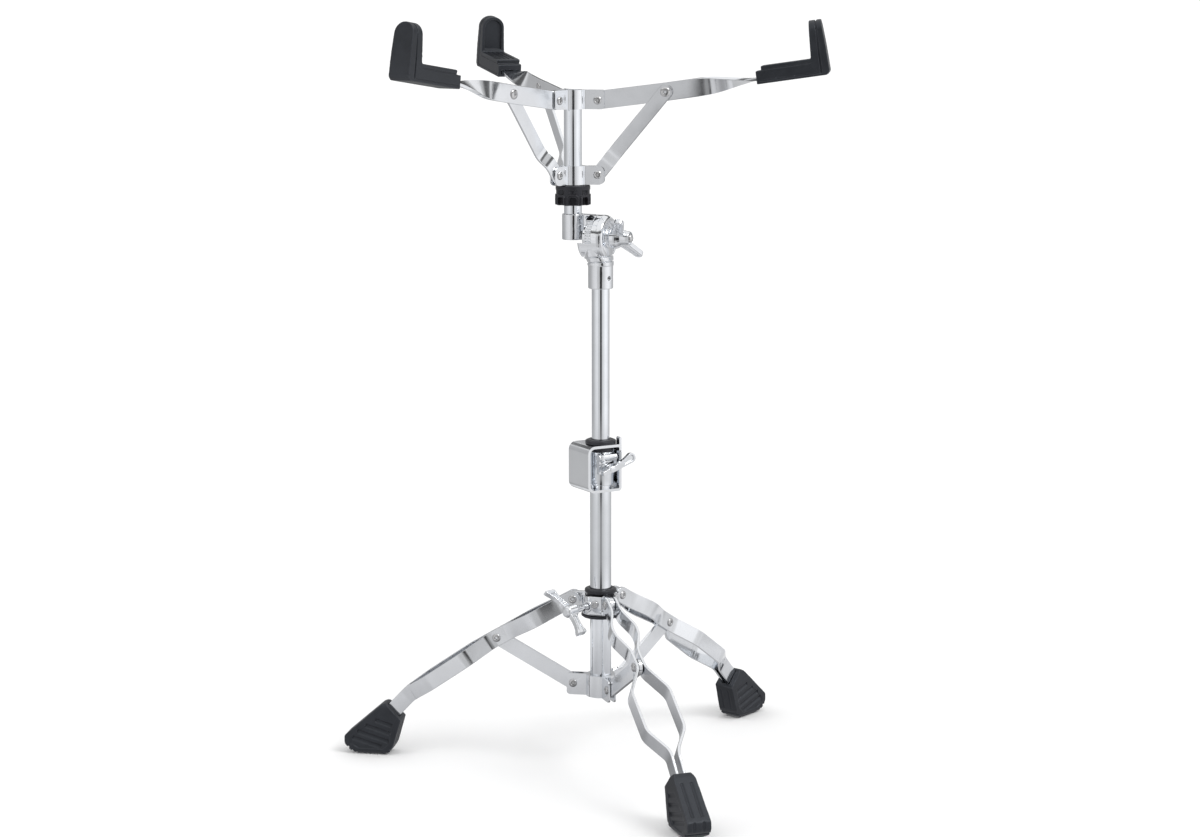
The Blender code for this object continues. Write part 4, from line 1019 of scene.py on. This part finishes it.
grip_mesh = None
for n, az in enumerate(ARM_AZ, 1):
    flat, side = frame_at(az, ROD), side_on(az, ROD)
    xs = [HUB_R, ARM_MID[0]] + [92.0] + [100.0 + 2.0 * i for i in range(32)] + [178.0, 198.0]
    base = [Vector((x, 0, arm_line(x))) for x in xs]
    pts = curve_path(base[:3], 8.0, 7)[:-1] + base[2:]
    hs, tw = [ARM_H] * len(pts), [interp(p.x, TWIST) for p in pts]
    lead = round_start(pts[0], (pts[1] - pts[0]).normalized(), 7.6, 8)
    hs = [h / 15.2 * ARM_H for p, h in lead] + hs
    pts = [p for p, h in lead] + pts
    tw = [0.0] * len(lead) + tw
    arm = obj("arm_%d_visual" % n, edge_bar("a", pts, hs, ARM_T, 0.6, tw), flat)
    place(arm, "arm_%d" % n, "arm_%d" % n, "strip", 40)
    if grip_mesh is None:
        grip = make_grip("grip_1_visual", az)
        grip_mesh = (grip.data, az)
    else:
        me = grip_mesh[0].copy()
        me.transform(shift(ROD[0], ROD[1], 0) @ rot(az - grip_mesh[1], 'Z')
                     @ shift(-ROD[0], -ROD[1], 0))
        grip = obj("grip_%d_visual" % n, me)
    place(grip, "arm_%d" % n, "grip_%d" % n, "rubber", 60, False)

    # strut: lies on one cheek of the arm, steps over to the hub's fork
    dx, dz = ARM_MID[0] - HUB_R, ARM_MID[1] - STRUT_Z
    reach = math.hypot(dx, dz)
    lean = math.degrees(math.atan2(dz, dx))
    off = -(ARM_T / 2 + 0.35 + STRUT_T / 2)
    line = [(0.0, 0.0, 0.0), (14.0, 0.0, 0.0), (24.0, off - 2.0, 0.0), (reach - 12.0, off, 0.0),
            (reach, off, 0.0)]
    pts = curve_path(line, 4.0, 7)
    hs = [STRUT_W] * len(pts)
    lead = round_start(pts[0], (pts[1] - pts[0]).normalized(), STRUT_W / 2, 8)
    tail = round_start(pts[-1], (pts[-2] - pts[-1]).normalized(), STRUT_W / 2, 8)
    pts = [p for p, h in lead] + pts + [p for p, h in tail][::-1]
    hs = [h for p, h in lead] + hs + [h for p, h in tail][::-1]
    strut = obj("strut_%d_visual" % n, edge_bar("s", pts, hs, STRUT_T, 0.5),
                flat @ shift(HUB_R, 0, STRUT_Z) @ rot(-lean, 'Y'))
    place(strut, "strut_%d" % n, "strut_%d" % n, "strip", 40)
    rivet("rivet_arm_hub_%d" % n, "basket", side @ shift(HUB_R, ARM_Z, 0), -GAP - 1.5, GAP + 1.5)
    rivet("rivet_arm_mid_%d" % n, "arm_%d" % n, side @ shift(ARM_MID[0], ARM_MID[1], 0),
          -ARM_T / 2, ARM_T / 2 + 0.35 + STRUT_T, 4.4)
    rivet("rivet_strut_%d" % n, "slide_hub", side @ shift(HUB_R, STRUT_Z, 0), -GAP - 1.5,
          GAP + 1.5)

# ----------------------------------------------------------------------- stage
CAM_AZ = -110.06

floor = obj("floor", cyl_mesh("floor", 400000.0, 20.0, 128), shift(0, 0, -10.0))
fm, nt, b, tc = base_material("pale_floor")
fn = noise(nt, mapping(nt, tc, (1, 1, 1)), 3.0, 3.0)
fc = ramp(nt, fn.outputs["Fac"], ((0.3, (0.925, 0.925, 0.925)), (0.7, (0.94, 0.94, 0.94))))
nt.links.new(fc.outputs["Color"], b.inputs["Base Color"])
b.inputs["Roughness"].default_value = 0.9
b.inputs["Specular IOR Level"].default_value = 0.0
floor.data.materials.append(fm)

world = bpy.data.worlds.new("studio")
bpy.context.scene.world = world
world.use_nodes = True
wn = world.node_tree
wn.nodes.clear()
wo = node(wn, "ShaderNodeOutputWorld", 600, 0)
bg = node(wn, "ShaderNodeBackground", 350, 0)
wn.links.new(bg.outputs["Background"], wo.inputs["Surface"])
wtc = node(wn, "ShaderNodeTexCoord", -700, 0)
sep = node(wn, "ShaderNodeSeparateXYZ", -500, 0)
wn.links.new(wtc.outputs["Generated"], sep.inputs["Vector"])
wr = ramp(wn, sep.outputs["Z"], ((0.0, (0.93, 0.93, 0.93)), (0.5, (0.95, 0.95, 0.952)),
                                 (1.0, (1.0, 1.0, 1.0))))
wn.links.new(wr.outputs["Color"], bg.inputs["Color"])
bg.inputs["Strength"].default_value = 0.97

# Light tent: a flared curtain and a floor card that only reflections see. Brightness by
# azimuth with the dark slot at the lens, greyer towards the floor and towards the top.
TENT = ((-180, 0.44), (-146, 0.44), (-116, 0.43), (-95, 0.50), (-78, 0.67), (-63, 0.78),
        (-40, 0.84), (-30, 0.70), (-24, 0.61), (-9, 0.58), (-5, 0.05), (4, 0.02), (12, 0.04),
        (16, 0.60), (28, 0.70), (41, 0.88), (54, 1.00), (72, 1.08), (88, 0.98), (103, 0.84),
        (122, 0.60), (138, 0.46), (150, 0.66), (166, 0.60), (180, 0.44))


def card_material(name, ramps):
    m = bpy.data.materials.new(name)
    m.use_nodes = True
    nt = m.node_tree
    nt.nodes.clear()
    out = node(nt, "ShaderNodeOutputMaterial", 600, 0)
    em = node(nt, "ShaderNodeEmission", 400, 0)
    nt.links.new(em.outputs["Emission"], out.inputs["Surface"])
    tc = node(nt, "ShaderNodeTexCoord", -1100, 0)
    nt.links.new(ramps(nt, tc).outputs["Result"], em.inputs["Color"])
    return m


def times(nt, a, b):
    mul = node(nt, "ShaderNodeMix", 100, 0)
    mul.data_type = 'RGBA'
    mul.blend_type = 'MULTIPLY'
    mul.inputs["Factor"].default_value = 1.0
    nt.links.new(a, mul.inputs["A"])
    nt.links.new(b, mul.inputs["B"])
    return mul


def curtain_ramps(nt, tc):
    turn = node(nt, "ShaderNodeMapping", -900, 0)
    turn.inputs["Rotation"].default_value = (0, 0, math.radians(-CAM_AZ))
    nt.links.new(tc.outputs["Object"], turn.inputs["Vector"])
    radial = node(nt, "ShaderNodeTexGradient", -700, 0)
    radial.gradient_type = 'RADIAL'
    nt.links.new(turn.outputs["Vector"], radial.inputs["Vector"])
    tr = ramp(nt, radial.outputs["Fac"], [(0.5 + a / 360.0, (g, g, g * 1.01)) for a, g in TENT])
    zz = node(nt, "ShaderNodeSeparateXYZ", -900, -250)
    nt.links.new(tc.outputs["Object"], zz.inputs["Vector"])
    zf = remap(nt, zz.outputs["Z"], 0.0, 1.8, 0.0, 1.0, x=-700, y=-250)
    zr = ramp(nt, zf.outputs["Result"], [(z / 1.8, (g, g, g)) for z, g in (
        (0.0, 0.86), (0.22, 0.96), (0.60, 1.02), (0.86, 0.96), (0.93, 0.16), (1.3, 0.10),
        (1.45, 0.5), (1.8, 0.70))], y=-250)
    lift = remap(nt, zz.outputs["Z"], 0.64, 0.80, 0.0, 0.60, x=-450, y=-480)
    even = node(nt, "ShaderNodeMix", -50, 300)
    even.data_type = 'RGBA'
    nt.links.new(lift.outputs["Result"], even.inputs["Factor"])
    nt.links.new(tr.outputs["Color"], even.inputs["A"])
    even.inputs["B"].default_value = (1.0, 1.0, 1.0, 1.0)
    low = ramp(nt, zf.outputs["Result"], [(z / 1.8, (g, g, g)) for z, g in (
        (0.0, 0.0), (0.04, 0.0), (0.08, 0.5), (0.17, 0.5), (0.23, 0.0))], y=-660)
    soft = node(nt, "ShaderNodeMix", 40, 480)
    soft.data_type = 'RGBA'
    nt.links.new(low.outputs["Color"], soft.inputs["Factor"])
    nt.links.new(even.outputs["Result"], soft.inputs["A"])
    soft.inputs["B"].default_value = (0.63, 0.63, 0.63, 1.0)
    return times(nt, soft.outputs["Result"], zr.outputs["Color"])


def apron_ramps(nt, tc):
    turn = mapping(nt, tc, (2.0, 2.0, 2.0))
    ball = node(nt, "ShaderNodeTexGradient", -700, 0)
    ball.gradient_type = 'SPHERICAL'
    nt.links.new(turn.outputs["Vector"], ball.inputs["Vector"])
    rr = ramp(nt, ball.outputs["Fac"], ((0.0, (0.80, 0.80, 0.81)), (0.34, (0.71, 0.71, 0.72)),
                                        (0.64, (0.46, 0.46, 0.47)), (1.0, (0.12, 0.12, 0.12))))
    wob = noise(nt, turn, 1.6, 2.0, 0.5, y=-300)
    wr2 = ramp(nt, wob.outputs["Fac"], ((0.3, (0.85, 0.85, 0.85)), (0.7, (1.1, 1.1, 1.1))), y=-300)
    return times(nt, rr.outputs["Color"], wr2.outputs["Color"])


def glossy_only(ob):
    ob.visible_camera = ob.visible_diffuse = ob.visible_shadow = False
    ob.visible_transmission = ob.visible_volume_scatter = False


bm = bmesh.new()
bmesh.ops.create_cone(bm, cap_ends=False, segments=96, radius1=0.46, radius2=1.9, depth=1.8)
tent = obj("light_tent", to_mesh("tent", bm), Matrix.Translation((0, 0, 0.901)))
tent.data.materials.append(card_material("light_tent", curtain_ramps))
glossy_only(tent)
apron = obj("light_apron", cyl_mesh("apron", 460.0, 0.2, 96), Matrix.Translation((0, 0, 0.00025)))
apron.data.materials.append(card_material("light_apron", apron_ramps))
glossy_only(apron)


def sun(name, az, elev, power, spread):
    d = bpy.data.lights.new(name, 'SUN')
    d.energy = power
    d.angle = math.radians(spread)
    ob = bpy.data.objects.new(name, d)
    bpy.context.scene.collection.objects.link(ob)
    e = math.radians(elev)
    x, y = at(az, math.cos(e))
    ob.rotation_euler = Vector((-x, -y, -math.sin(e))).to_track_quat('-Z', 'Y').to_euler()
    return ob


sun("key", CAM_AZ + 58.0, 46.0, 0.85, 26.0)
sun("fill", CAM_AZ - 66.0, 20.0, 0.30, 36.0)

cam_data = bpy.data.cameras.new("camera")
cam = bpy.data.objects.new("camera", cam_data)
bpy.context.scene.collection.objects.link(cam)
cam_data.sensor_width = 36.0
cam_data.lens = 36.0 * (2.2782 / 0.000874) / 1200.0
cam_data.shift_x = -0.64 / 1200.0
cam_data.clip_start, cam_data.clip_end = 0.05, 2000.0
cam.matrix_world = (rot(-20.06, 'Z') @ Matrix.Translation((0, -2.2782, 0.6976))
                    @ Matrix.Rotation(math.pi / 2 - 0.16578, 4, 'X'))
bpy.context.scene.camera = cam
bpy.context.scene.view_settings.view_transform = 'Standard'
